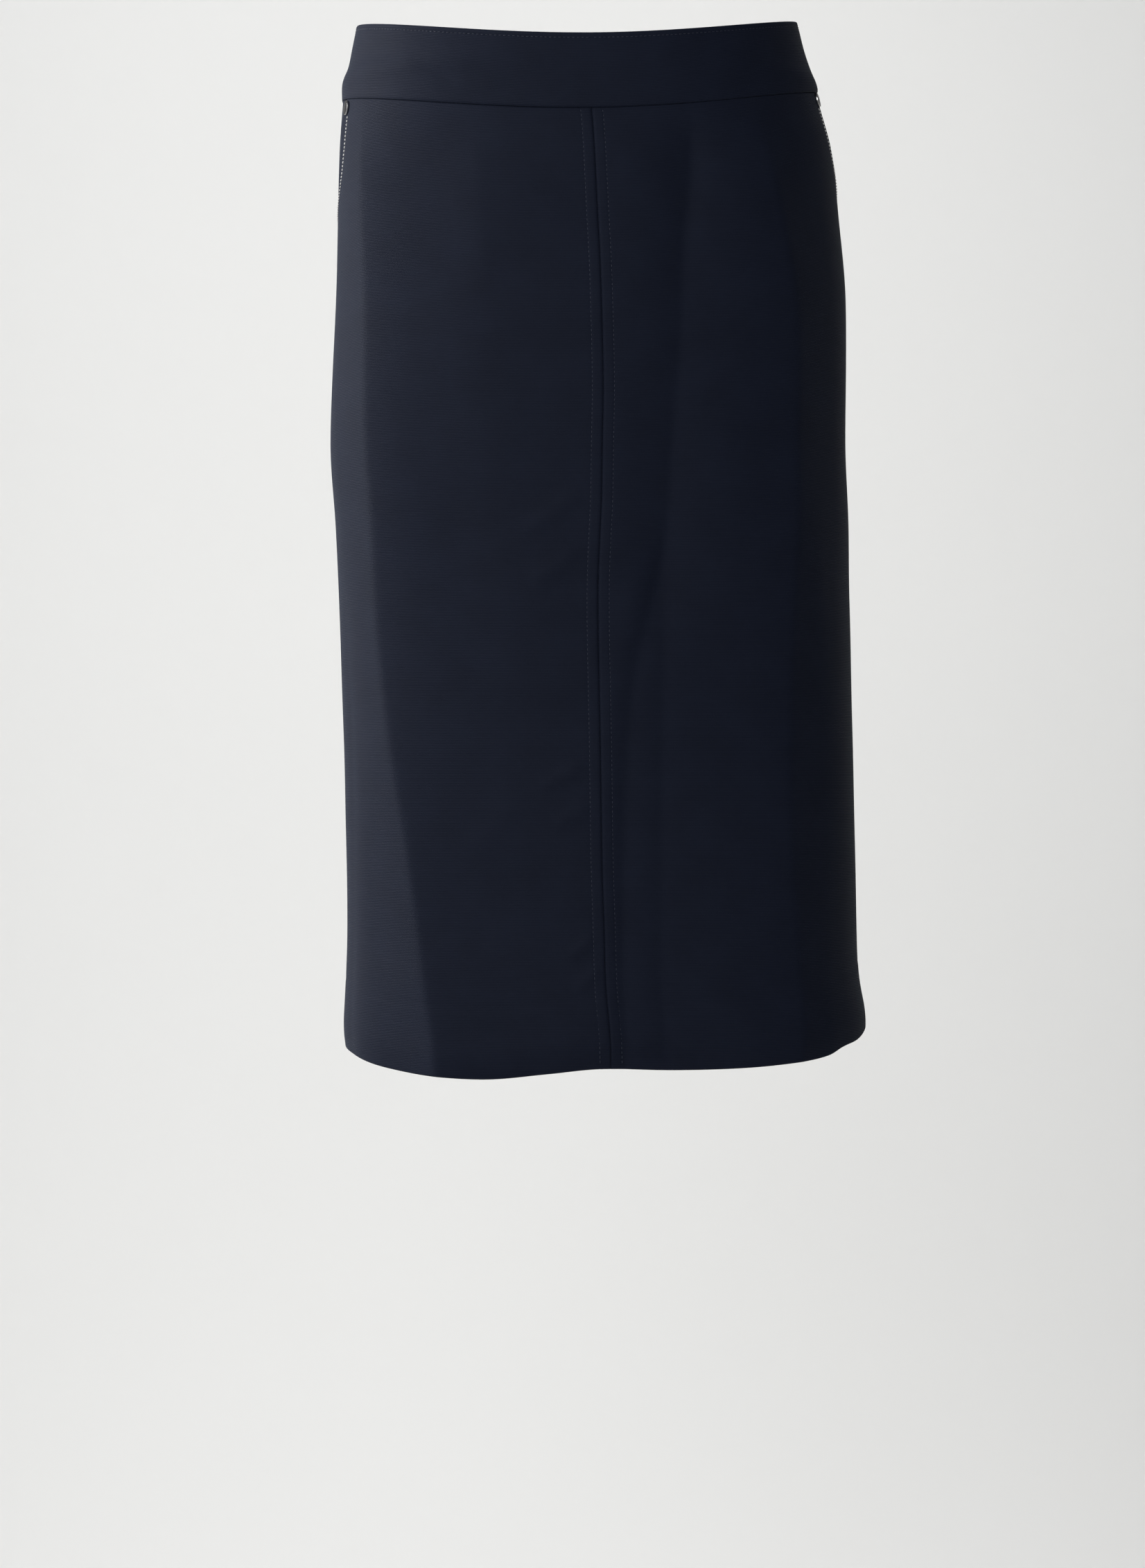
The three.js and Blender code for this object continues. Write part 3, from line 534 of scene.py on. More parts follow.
def cloth_piece(name, edges, span, columns, rows, lift, thick, material, straight_rows=False, mouth=None):
    """One piece of cloth as a closed shell.

    The functions lift, thick and mouth take the piece's places as a dictionary. mouth gives their distances
    from one more edge to round off. straight_rows lets the weave follow the piece's top edge.
    """
    arc, drop, turn = lay_grid(edges, span, columns, rows)
    start, stop = edges(drop)
    top, bottom = span(turn)
    place = {
        "arc": arc,
        "drop": drop,
        "turn": turn,
        "from_start": arc - start,
        "from_stop": stop - arc,
        "from_top": drop - top,
        "from_bottom": bottom - drop,
    }
    edge = np.minimum.reduce([place[key] for key in ("from_start", "from_stop", "from_top", "from_bottom")])
    if mouth is not None:
        place["mouth"] = mouth(place)
        edge = np.minimum(edge, place["mouth"])
    depth = thick(place)
    out = lift(place)
    full = np.minimum(1, depth / CLOTH_THICK)
    outer = skin_point(arc, drop, out - rolled(edge, EDGE_ROUND * full))
    inner = skin_point(arc, drop, out - depth + rolled(edge, INNER_ROUND * full))
    points = np.concatenate([outer.reshape(-1, 3), inner.reshape(-1, 3)])
    across = drop - top if straight_rows else drop
    uv = np.stack([arc, -across], axis=-1).reshape(-1, 2)
    return new_object(name, points, shell_faces(len(rows), len(columns)), np.concatenate([uv, uv]), material)


def starts(extra=()):
    return [("start", step) for step in [*EDGE_STEPS, *extra]]


def ends(extra=()):
    return [("end", step) for step in sorted([*EDGE_STEPS, *extra], reverse=True)]


# Stitches


def stitch_shape(length, width):
    """One stitch: a short thread with round ends, as points and faces, lying along X."""
    bpy.ops.object.select_all(action="DESELECT")
    bpy.ops.mesh.primitive_uv_sphere_add(segments=8, ring_count=6, radius=0.5, rotation=(0, math.pi / 2, 0))
    ball = bpy.context.object
    bpy.ops.object.transform_apply(location=False, rotation=True, scale=False)
    points = np.array([v.co[:] for v in ball.data.vertices])
    faces = [tuple(p.vertices) for p in ball.data.polygons]
    blunt = np.sign(points[:, 0]) * np.abs(points[:, 0] * 2) ** 0.7 / 2
    points = np.stack([blunt * length, points[:, 1] * width, points[:, 2] * width], axis=-1)
    points[:, 2] -= 0.3 * width * (np.abs(blunt * 2) ** 3)
    mesh = ball.data
    bpy.data.objects.remove(ball)
    bpy.data.meshes.remove(mesh)
    return points, faces


def stitch_line(name, arcs, drops, out, pitch, length, width, material):
    """A line of stitches on the cloth, along places that are given close together."""
    path = skin_point(arcs, drops, 0.0)
    normals = FORM.normal(np.asarray(arcs, dtype=float), np.asarray(drops, dtype=float))
    run = np.concatenate([[0], np.cumsum(np.linalg.norm(np.diff(path, axis=0), axis=1))])
    middles = np.arange(pitch * 0.6, run[-1] - pitch * 0.4, pitch)
    lifts = np.interp(middles, run, np.broadcast_to(out, len(run)))

    def at(grid, places):
        return np.stack([np.interp(places, run, grid[:, i]) for i in range(3)], axis=-1)

    centres, up = at(path, middles), at(normals, middles)
    along = at(path, middles + 0.6) - at(path, middles - 0.6)
    along /= np.linalg.norm(along, axis=1, keepdims=True)
    side = np.cross(up, along)
    side /= np.linalg.norm(side, axis=1, keepdims=True)
    up = np.cross(along, side)
    shape, shape_faces = stitch_shape(length, width)
    centres = centres + up * lifts[:, None]
    points = (
        centres[:, None, :]
        + along[:, None, :] * shape[None, :, 0:1]
        + side[:, None, :] * shape[None, :, 1:2]
        + up[:, None, :] * shape[None, :, 2:3]
    ).reshape(-1, 3)
    faces = [tuple(v + i * len(shape) for v in f) for i in range(len(middles)) for f in shape_faces]
    uv = np.stack([np.tile(shape[:, 0], len(middles)), np.tile(shape[:, 1], len(middles))], axis=-1)
    piece = new_object(name, points, faces, uv, material)
    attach(piece, "skirt")
    return piece


# Materials


def add_node(tree, kind, inputs=None, **settings):
    node = tree.nodes.new(kind)
    for key, value in settings.items():
        setattr(node, key, value)
    for key, value in (inputs or {}).items():
        if isinstance(value, bpy.types.NodeSocket):
            tree.links.new(value, node.inputs[key])
        else:
            node.inputs[key].default_value = value
    return node


def new_material(name):
    material = bpy.data.materials.new(name)
    material.use_nodes = True
    tree = material.node_tree
    tree.nodes.clear()
    output = tree.nodes.new("ShaderNodeOutputMaterial")
    shader = tree.nodes.new("ShaderNodeBsdfPrincipled")
    tree.links.new(shader.outputs["BSDF"], output.inputs["Surface"])
    return material, tree, shader


def math_node(tree, operation, first, second=0.0):
    return add_node(tree, "ShaderNodeMath", {0: first, 1: second}, operation=operation).outputs[0]


def raise_normal(tree, shader, height, strength, distance):
    raised = add_node(tree, "ShaderNodeBump", {"Height": height, "Strength": strength, "Distance": distance})
    tree.links.new(raised.outputs[0], shader.inputs["Normal"])


def blend_colours(tree, shader, share, low, high):
    """Base colour from low to high as the share grows."""
    tint = add_node(tree, "ShaderNodeMix", {0: share, 6: low, 7: high}, data_type="RGBA")
    tree.links.new(tint.outputs[2], shader.inputs["Base Color"])


def rib_weave_group():
    """Cross ribs with fine ends between them, from grain coordinates in metres."""
    name = "Rib weave"
    if name in bpy.data.node_groups:
        return bpy.data.node_groups[name]
    group = bpy.data.node_groups.new(name, "ShaderNodeTree")
    face = group.interface
    face.new_socket(name="Grain", in_out="INPUT", socket_type="NodeSocketVector")
    for label, value in (("Rib pitch", 1.0), ("End pitch", 0.6), ("Slub", 0.3)):
        face.new_socket(name=label, in_out="INPUT", socket_type="NodeSocketFloat").default_value = value
    face.new_socket(name="Height", in_out="OUTPUT", socket_type="NodeSocketFloat")
    face.new_socket(name="Hollows", in_out="OUTPUT", socket_type="NodeSocketFloat")
    face.new_socket(name="Mottle", in_out="OUTPUT", socket_type="NodeSocketFloat")
    start = group.nodes.new("NodeGroupInput")
    stop = group.nodes.new("NodeGroupOutput")
    parts = add_node(group, "ShaderNodeSeparateXYZ", {0: start.outputs["Grain"]})
    slub = add_node(group, "ShaderNodeTexNoise", {"Scale": 260.0, "Detail": 2.0}, noise_dimensions="3D")
    stretch = add_node(group, "ShaderNodeMapping", {"Vector": start.outputs["Grain"]})
    stretch.inputs["Scale"].default_value = (0.25, 2.2, 1.0)
    group.links.new(stretch.outputs[0], slub.inputs["Vector"])
    unevenness = math_node(group, "SUBTRACT", slub.outputs["Fac"], 0.5)
    slub_amount = math_node(group, "MULTIPLY", unevenness, start.outputs["Slub"])
    metres = math_node(group, "MULTIPLY", start.outputs["Rib pitch"], MM)
    ribs = math_node(group, "DIVIDE", parts.outputs["Y"], metres)
    ribs = math_node(group, "ADD", ribs, slub_amount)
    rib_wave = math_node(group, "SINE", math_node(group, "MULTIPLY", ribs, 2 * math.pi))
    end_metres = math_node(group, "MULTIPLY", start.outputs["End pitch"], MM)
    ends_at = math_node(group, "DIVIDE", parts.outputs["X"], end_metres)
    half_step = math_node(group, "MULTIPLY", math_node(group, "FLOOR", ribs), 0.5)
    shifted_ends = math_node(group, "ADD", ends_at, half_step)
    end_wave = math_node(group, "SINE", math_node(group, "MULTIPLY", shifted_ends, 2 * math.pi))
    rib_height = math_node(group, "MULTIPLY", rib_wave, 0.7)
    height = math_node(group, "ADD", rib_height, math_node(group, "MULTIPLY", end_wave, 0.3))
    # How deep in a hollow between the ribs a place lies; it sets the hollows' painted shade and their
    # roughness
    rib_depth = math_node(group, "MULTIPLY", math_node(group, "SUBTRACT", 1.0, rib_wave), 0.5)
    patches = {"Vector": start.outputs["Grain"], "Scale": 34.0, "Detail": 3.0}
    mottle = add_node(group, "ShaderNodeTexNoise", patches)
    group.links.new(height, stop.inputs["Height"])
    group.links.new(rib_depth, stop.inputs["Hollows"])
    group.links.new(mottle.outputs["Fac"], stop.inputs["Mottle"])
    return group


def woven_material(name, colour, painted_hollow_shade, rib_pitch, end_pitch, slub):
    """Rib cloth, with its pitches in millimetres. The hollows between the ribs take a darker colour as
    painted shade.
    """
    if name in bpy.data.materials:
        return bpy.data.materials[name]
    material, tree, shader = new_material(name)
    grain = add_node(tree, "ShaderNodeUVMap", uv_map="Grain")
    weave = tree.nodes.new("ShaderNodeGroup")
    weave.node_tree = rib_weave_group()
    tree.links.new(grain.outputs[0], weave.inputs["Grain"])
    weave.inputs["Rib pitch"].default_value = rib_pitch
    weave.inputs["End pitch"].default_value = end_pitch
    weave.inputs["Slub"].default_value = slub
    # Painted shade: the ribs' hollows take the darker colour
    ridge = add_node(
        tree, "ShaderNodeMix", {0: weave.outputs["Hollows"], 6: colour, 7: painted_hollow_shade}, data_type="RGBA"
    )
    worn = add_node(tree, "ShaderNodeMix", data_type="RGBA", blend_type="MULTIPLY")
    worn.inputs[0].default_value = 0.35
    ramp = add_node(tree, "ShaderNodeValToRGB", {0: weave.outputs["Mottle"]})
    ramp.color_ramp.elements[0].position, ramp.color_ramp.elements[1].position = 0.3, 0.7
    ramp.color_ramp.elements[0].color = (0.72, 0.72, 0.74, 1)
    ramp.color_ramp.elements[1].color = (1.2, 1.2, 1.18, 1)
    tree.links.new(ridge.outputs[2], worn.inputs[6])
    tree.links.new(ramp.outputs[0], worn.inputs[7])
    tree.links.new(worn.outputs[2], shader.inputs["Base Color"])
    rough = add_node(tree, "ShaderNodeMapRange", {0: weave.outputs["Hollows"], 3: 0.62, 4: 0.85})
    tree.links.new(rough.outputs[0], shader.inputs["Roughness"])
    raise_normal(tree, shader, weave.outputs["Height"], 0.4, 0.12 * MM)
    shader.inputs["Specular IOR Level"].default_value = 0.12
    shader.inputs["Sheen Weight"].default_value = 0.05
    shader.inputs["Sheen Roughness"].default_value = 0.45
    shader.inputs["Sheen Tint"].default_value = (0.62, 0.72, 1.0, 1)
    return material


def thread_material(name, colour):
    if name in bpy.data.materials:
        return bpy.data.materials[name]
    material, tree, shader = new_material(name)
    grain = add_node(tree, "ShaderNodeUVMap", uv_map="Grain")
    strands = {"Vector": grain.outputs[0], "Scale": 900.0, "Distortion": 0.4}
    twist = add_node(tree, "ShaderNodeTexWave", strands, bands_direction="DIAGONAL")
    # Painted shade: the grooves between the twisted strands take a darker copy of the thread colour
    painted_hollow_shade = tuple(0.62 * c for c in colour[:3]) + (1,)
    blend_colours(tree, shader, twist.outputs["Fac"], painted_hollow_shade, colour)
    raise_normal(tree, shader, twist.outputs["Fac"], 0.5, 0.08 * MM)
    shader.inputs["Roughness"].default_value = 0.55
    return material


def nickel_material(name, colour, darkest):
    if name in bpy.data.materials:
        return bpy.data.materials[name]
    material, tree, shader = new_material(name)
    place = add_node(tree, "ShaderNodeTexCoord")
    marks = {"Vector": place.outputs["Object"], "Scale": 900.0, "Detail": 4.0}
    wear = add_node(tree, "ShaderNodeTexNoise", marks)
    blend_colours(tree, shader, wear.outputs["Fac"], darkest, colour)
    rough = add_node(tree, "ShaderNodeMapRange", {0: wear.outputs["Fac"], 3: 0.24, 4: 0.42})
    tree.links.new(rough.outputs[0], shader.inputs["Roughness"])
    raise_normal(tree, shader, wear.outputs["Fac"], 0.15, 0.05 * MM)
    shader.inputs["Metallic"].default_value = 1.0
    return material


def cloth_material():
    looks = bpy.context.scene.skirt_looks
    return woven_material(
        "Navy rib cloth", tuple(looks.cloth), tuple(looks.cloth_hollow_shade), rib_pitch=looks.rib_pitch / MM,
        end_pitch=looks.end_pitch / MM, slub=0.2,
    )


def tape_material():
    # The second colour is painted shade in the hollows between the tape's ribs
    return woven_material(
        "Zip tape twill", (0.012, 0.013, 0.022, 1), (0.006, 0.006, 0.011, 1), rib_pitch=0.7, end_pitch=0.7,
        slub=0.1,
    )


def navy_thread():
    return thread_material("Navy topstitch thread", tuple(bpy.context.scene.skirt_looks.navy_thread))


def white_thread():
    return thread_material("White pocket thread", tuple(bpy.context.scene.skirt_looks.white_thread))


def nickel():
    return nickel_material("Nickel", (0.76, 0.75, 0.73, 1), (0.56, 0.55, 0.54, 1))


def painted_shade_nickel():
    # Near-black nickel: painted shade for the rivet's sunk middle
    return nickel_material("Darkened nickel", (0.035, 0.035, 0.04, 1), (0.02, 0.02, 0.024, 1))


# The pieces


def settle(piece, node, body="skirt"):
    """The finished piece rides its body and stands for its node, whose own part is hidden."""
    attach(piece, body)
    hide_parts(node)
    return piece


def panel_thickness(place):
    """A layer more inside where seam edges are pressed back, and where the hem is turned up."""
    turned = np.zeros_like(place["arc"])
    for side in ("from_start", "from_stop"):
        turned = np.maximum(turned, smooth((SEAM_ALLOWANCE + 0.8 - place[side]) / 1.2))
    turned = np.maximum(turned, smooth((HEM_DEPTH + 0.8 - place["from_bottom"]) / 1.4))
    return CLOTH_THICK + TURNED_THICK * turned


def panel_span(turn):
    return seam_drop(turn), hem_drop(turn)


def hem_mark(place):
    """The hem's blind stitches and its folded edge show through as a faint line and a soft swell."""
    rise = place["from_bottom"]
    share = 1 + HEM_TURN_MORE * bell(place["turn"] - HEM_TURN_AT, HEM_TURN_SPREAD)
    turn_in = HEM_TURN_IN * share * np.clip((HEM_TURN_LENGTH - rise) / HEM_TURN_LENGTH, 0, 1) ** 2
    return -0.10 * bell(rise - HEM_DEPTH, 1.1) + 0.12 * smooth((HEM_DEPTH - rise) / 3) - turn_in


def front_rows():
    last = [6, 4.3, 2.9, 1.8, 1.0, 0.5, 0.15, -0.2, -1.4]
    opening = [4.5, *np.arange(7.2, POCKET_LENGTH - 8, 2.7), *(POCKET_LENGTH - step for step in last)]
    return starts(opening) + even(208) + ends([3.0, 5.5])


def front_columns(seam_at_start, count=84):
    stitched = [2.8, 4.2, 5.6, 6.4, 6.9, 7.2, 7.5, 8.0, 9.0, 10.6, 12.4]
    turned = [3.2, 5.0, 7.2, 9.6, 12.0]
    if seam_at_start:
        return starts(stitched) + even(count) + ends(turned)
    return starts(turned) + even(count) + ends(stitched)


def pocket_line(side, inset=0.0):
    """The pocket's edge as places, or a line parallel to it, inset towards the centre front."""
    shares = 1 - (1 - np.linspace(0, 1, 90)) ** 2.2
    drops = pocket_top_drop(side) + POCKET_LENGTH * shares
    arcs = pocket_edge_arc(drops, side)
    if inset:
        run = np.gradient(np.stack([arcs, drops], axis=-1), axis=0)
        run /= np.linalg.norm(run, axis=1, keepdims=True)
        arcs = arcs - side * np.abs(run[:, 1]) * inset
        drops = drops + np.abs(run[:, 0]) * inset
    return arcs, drops


def mouth_distance(place, side):
    """How far each place lies from the pocket's mouth along the cloth, worked out only near the mouth."""
    arcs, drops = pocket_line(side)
    close = (place["drop"] < drops[-1] + 16) & (side * place["arc"] > (side * arcs).min() - 60)
    distance = np.full_like(place["arc"], FAR)
    distance[close] = line_distance(place["arc"][close], place["drop"][close], list(zip(arcs, drops)))
    return distance


def front_lift(place, seam_key):
    """A stitched strip beside the centre seam, and a full folded edge round the pocket's mouth."""
    beside, mouth = place[seam_key], place["mouth"]
    strip = 0.14 * smooth(beside / 2.2) * smooth((TOPSTITCH_OFFSET + 0.8 - beside) / 2.4)
    groove = -0.12 * bell(beside - TOPSTITCH_OFFSET, 0.6)
    waves = np.sin(place["drop"] / 1.9 + 1.7 * np.sin(place["drop"] / 17))
    pucker = 0.05 * waves * bell(beside - TOPSTITCH_OFFSET, 3.2)
    seam = -0.35 * bell(beside, 0.9)
    pocket = 0.30 * bell(mouth - 1.2, 1.4) - 0.12 * bell(mouth - POCKET_STITCH, 0.5)
    return strip + groove + pucker + seam + pocket + hem_mark(place)


def make_front(side):
    left = side > 0

    def edges(drop):
        seam, pocket = front_seam_arc(drop), pocket_edge_arc(drop, side)
        return (seam, pocket) if left else (pocket, seam)

    piece = cloth_piece(
        "front_panel_left" if left else "front_panel_right",
        edges,
        panel_span,
        front_columns(seam_at_start=left),
        front_rows(),
        lambda place: front_lift(place, "from_start" if left else "from_stop"),
        panel_thickness,
        cloth_material(),
        mouth=lambda place: mouth_distance(place, side),
    )
    return settle(piece, "front_left" if left else "front_right")


def back_lift(place):
    """A dart down the middle of the panel's top, and the seam allowances full beside the seams."""
    off = (place["from_start"] - place["from_stop"]) / 2
    below = BAND_HEIGHT + DART_LENGTH - place["drop"]
    dart = -0.7 * bell(off, 0.9) * smooth(below / 30) + 0.25 * bell(off - 4, 4) * smooth(below / 40)
    full = 0.0
    for key in ("from_start", "from_stop"):
        full = full + 0.22 * smooth(place[key] / 1.5) * smooth((SEAM_ALLOWANCE - place[key]) / 4)
    return dart + full + hem_mark(place)


def make_back(side):
    left = side > 0

    def edges(drop):
        centre, seam = half_round(drop) - back_gap(drop), side_seam_arc(drop, side)
        return (seam, centre) if left else (-centre, seam)

    rows = starts([3.0, 5.0]) + even(205) + ends([3.0, 5.5])
    columns = starts([3.4, 6, 9, 12]) + even(76) + ends([3.4, 6, 9, 12])
    piece = cloth_piece(
        "back_panel_left" if left else "back_panel_right",
        edges,
        panel_span,
        columns,
        rows,
        back_lift,
        panel_thickness,
        cloth_material(),
    )
    return settle(piece, "back_left" if left else "back_right")


def make_hip_piece(side):
    """Behind the panel up to the pocket's mouth, and swelling out to the panel's own face beyond it."""
    left = side > 0

    def edges(drop):
        mouth, seam = pocket_edge_arc(drop, side), side_seam_arc(drop, side)
        return (mouth - POCKET_UNDERLAP, seam) if left else (seam, mouth + POCKET_UNDERLAP)

    def span(turn):
        top = seam_drop(turn) + 0.1
        return top, top + POCKET_LENGTH + HIP_PIECE_BELOW

    def lift(place):
        beyond = side * (place["arc"] - pocket_edge_arc(place["drop"], side))
        return UNDER_OUT + np.clip((beyond - 1.5) * 0.3, 0, -UNDER_OUT + 0.1)

    last = [8, 6, 4.3, 2.9, 1.8, 1.0, 0.5, 0.15, -0.2]
    rows = starts([*np.arange(4, POCKET_LENGTH - 9, 3.0), *(POCKET_LENGTH - step for step in last)]) + ends()
    piece = cloth_piece(
        "hip_panel_left" if left else "hip_panel_right",
        edges,
        span,
        starts() + even(28) + ends(),
        rows,
        lift,
        lambda place: np.full_like(place["arc"], CLOTH_THICK),
        cloth_material(),
    )
    return settle(piece, "hip_piece_left" if left else "hip_piece_right")


def band_span(turn):
    return top_drop(turn), seam_drop(turn)


def band_lift(place):
    """A full upper edge, the dimpled line of stitches below it, and a lower edge drawn in at the seam."""
    top, bottom = place["from_top"], place["from_bottom"]
    stitched = -0.20 * bell(top - BAND_STITCH, 0.55) + 0.12 * bell(top - 1.6, 1.2)
    pucker = 0.06 * np.sin(place["arc"] / 2.1) * bell(top - BAND_STITCH, 2.2)
    return BAND_PROUD + stitched + pucker - 0.35 * bell(bottom, 1.4)


def make_band(name, node, edges, count):
    beside_stitches = [BAND_STITCH + step for step in (-0.6, -0.3, 0, 0.3, 0.6)]
    piece = cloth_piece(
        name,
        edges,
        band_span,
        starts([3.0]) + even(count) + ends([3.0]),
        starts([2.4, *beside_stitches, 5.0]) + even(20) + ends([2.8]),
        band_lift,
        lambda place: np.full_like(place["arc"], BAND_THICK),
        cloth_material(),
        straight_rows=True,
    )
    return settle(piece, node)


def make_tape(side):
    left = side > 0

    def edges(drop):
        centre = half_round(drop)
        if left:
            return centre - ZIP_TAPE_WIDTH, centre - ZIP_GAP / 2
        return -centre + ZIP_GAP / 2, -centre + ZIP_TAPE_WIDTH

    inner_edge = "from_stop" if left else "from_start"
    piece = cloth_piece(
        "zip_ribbon_left" if left else "zip_ribbon_right",
        edges,
        lambda turn: (top_drop(turn) + 3, np.full_like(turn, ZIP_LENGTH)),
        starts() + even(4) + ends(),
        starts() + even(60) + ends(),
        lambda place: TAPE_OUT - 0.25 * bell(place[inner_edge], 1.6),
        lambda place: np.full_like(place["arc"], 0.7 * TAPE_THICK),
        tape_material(),
    )
    return settle(piece, "zip_tape_left" if left else "zip_tape_right")


def stand_matrix(arc, drop, out):
    """A place on the cloth to stand something on: Y points out of the cloth and Z up along it."""
    arcs, drops = np.array([arc], dtype=float), np.array([drop], dtype=float)
    turn = arc / half_round(drop)
    above, below = (FORM.point(turn * half_round(drops + step), drops + step)[0] for step in (-1.0, 1.0))
    y = Vector(FORM.normal(arcs, drops)[0])
    x = y.cross(Vector(above - below)).normalized()
    z = x.cross(y)
    place = Vector(skin_point(arcs, drops, out)[0]) * MM
    return Matrix.Translation(place) @ Matrix((x, y, z)).transposed().to_4x4()


def select_only(*objects):
    bpy.ops.object.select_all(action="DESELECT")
    for obj in objects:
        obj.select_set(True)
    bpy.context.view_layer.objects.active = objects[-1]


def place_in_mesh(obj, matrix):
    """Puts an object's place into its mesh, so that it sits at the origin."""
    obj.data.transform(matrix @ obj.matrix_world)
    obj.matrix_world = Matrix.Identity(4)
    obj.data.update()


def shade_round(obj, angle):
    select_only(obj)
    bpy.ops.object.shade_smooth_by_angle(angle=math.radians(angle))


def soften_edges(obj, width, segments, angle=30):
    """Rounds every edge sharper than an angle in degrees, with a width in millimetres."""
    bevel = obj.modifiers.new("Soft edges", "BEVEL")
    bevel.width, bevel.segments = width * MM, segments
    bevel.limit_method, bevel.angle_limit = "ANGLE", math.radians(angle)
    bpy.ops.object.modifier_apply(modifier=bevel.name)


def add_block(place, size):
    """A box, in millimetres."""
    bpy.ops.object.select_all(action="DESELECT")
    bpy.ops.mesh.primitive_cube_add(
        size=1, location=[value * MM for value in place], scale=[value * MM for value in size]
    )
    bpy.ops.object.transform_apply()
    return bpy.context.object


def pick_faces(obj, test):
    bpy.ops.mesh.select_all(action="DESELECT")
    mesh = bmesh.from_edit_mesh(obj.data)
    for face in mesh.faces:
        face.select = test(face)
    mesh.select_flush_mode()
    bmesh.update_edit_mesh(obj.data)


def set_material(obj, material):
    obj.data.materials.clear()
    obj.data.materials.append(material)


def make_rivet(side):
    """A cap with a raised ring round a sunk middle, painted near-black as shade, and a small point in it."""
    drop = pocket_top_drop(side) + RIVET_BELOW
    arc = float(pocket_edge_arc(np.float64(drop), side)) - side * RIVET_INSET
    bpy.ops.object.select_all(action="DESELECT")
    bpy.ops.mesh.primitive_cylinder_add(
        vertices=64, radius=RIVET_RADIUS * MM, depth=RIVET_DEPTH * MM, rotation=(-math.pi / 2, 0, 0),
        location=(0, RIVET_DEPTH / 2 * MM, 0),
    )
    rivet = bpy.context.object
    rivet.name = rivet.data.name = "rivet_cap_left" if side > 0 else "rivet_cap_right"
    bpy.ops.object.transform_apply()
    bpy.ops.object.mode_set(mode="EDIT")
    pick_faces(rivet, lambda face: face.normal.y > 0.9)
    for inset, rise in RIVET_FACE:
        bpy.ops.mesh.inset(thickness=inset * MM, depth=rise * MM)
    bpy.ops.object.mode_set(mode="OBJECT")
    soften_edges(rivet, 0.12, 2, angle=28)
    set_material(rivet, nickel())
    # Painted shade: the faces in the sunk middle take the near-black nickel
    rivet.data.materials.append(painted_shade_nickel())
    for face in rivet.data.polygons:
        middle = face.center
        sunk = 0 < middle.y < RIVET_SHADE_HEIGHT * MM
        if sunk and math.hypot(middle.x, middle.z) < RIVET_SHADE_RADIUS * MM:
            face.material_index = 1
    place_in_mesh(rivet, stand_matrix(arc, drop, RIVET_OUT))
    shade_round(rivet, 50)
    return settle(rivet, "rivet_left" if side > 0 else "rivet_right")


def slider_stand():
    """The slider's middle, on the cloth's face at the centre back, just below the waist."""
    drop = float(top_drop(np.float64(1.0))) + SLIDER_DROP + SLIDER_LENGTH / 2
    return stand_matrix(float(half_round(drop)), drop, 0.0)


def make_plate(out):
    """One of the slider's two plates, narrower at its lower end."""
    block = add_block((0, out + PLATE_THICK / 2, 0), (SLIDER_WIDTH, PLATE_THICK, SLIDER_LENGTH))
    bpy.ops.object.mode_set(mode="EDIT")
    pick_faces(block, lambda face: face.normal.z < -0.9)
    bpy.ops.transform.resize(value=(SLIDER_TAPER, 1, 1), center_override=(0, 0, 0))
    bpy.ops.object.mode_set(mode="OBJECT")
    soften_edges(block, 0.38, 3)
    return block


def make_arch():
    """A ring cut off inside the outer plate."""
    bpy.ops.object.select_all(action="DESELECT")
    bpy.ops.mesh.primitive_torus_add(
        major_segments=48, minor_segments=16, major_radius=ARCH_RADIUS * MM, minor_radius=ARCH_THREAD * MM,
        rotation=(0, math.pi / 2, 0), location=(0, ARCH_OUT * MM, 0),
    )
    arch = bpy.context.object
    bpy.ops.object.transform_apply()
    bpy.ops.object.mode_set(mode="EDIT")
    bpy.ops.mesh.select_all(action="SELECT")
    foot = (0, (OUTER_PLATE_OUT + PLATE_THICK * 0.6) * MM, 0)
    bpy.ops.mesh.bisect(plane_co=foot, plane_no=(0, 1, 0), use_fill=True, clear_inner=True)
    bpy.ops.object.mode_set(mode="OBJECT")
    arch.data.transform(Matrix.Diagonal((ARCH_SPREAD, 1, 1, 1)))
    return arch


def make_slider():
    """Two plates with a neck between them, and the arch that carries the pull."""
    outer, inner = make_plate(OUTER_PLATE_OUT), make_plate(INNER_PLATE_OUT)
    tall = OUTER_PLATE_OUT - INNER_PLATE_OUT
    middle = INNER_PLATE_OUT + PLATE_THICK / 2 + tall / 2
    neck = add_block((0, middle, NECK_UP), (NECK_WIDTH, tall, NECK_LENGTH))
    select_only(inner, neck, make_arch(), outer)
    bpy.ops.object.join()
    outer.name = outer.data.name = "zip_slider_body"
    place_in_mesh(outer, slider_stand())
    shade_round(outer, 50)
    set_material(outer, nickel())
    return settle(outer, "zip_slider")


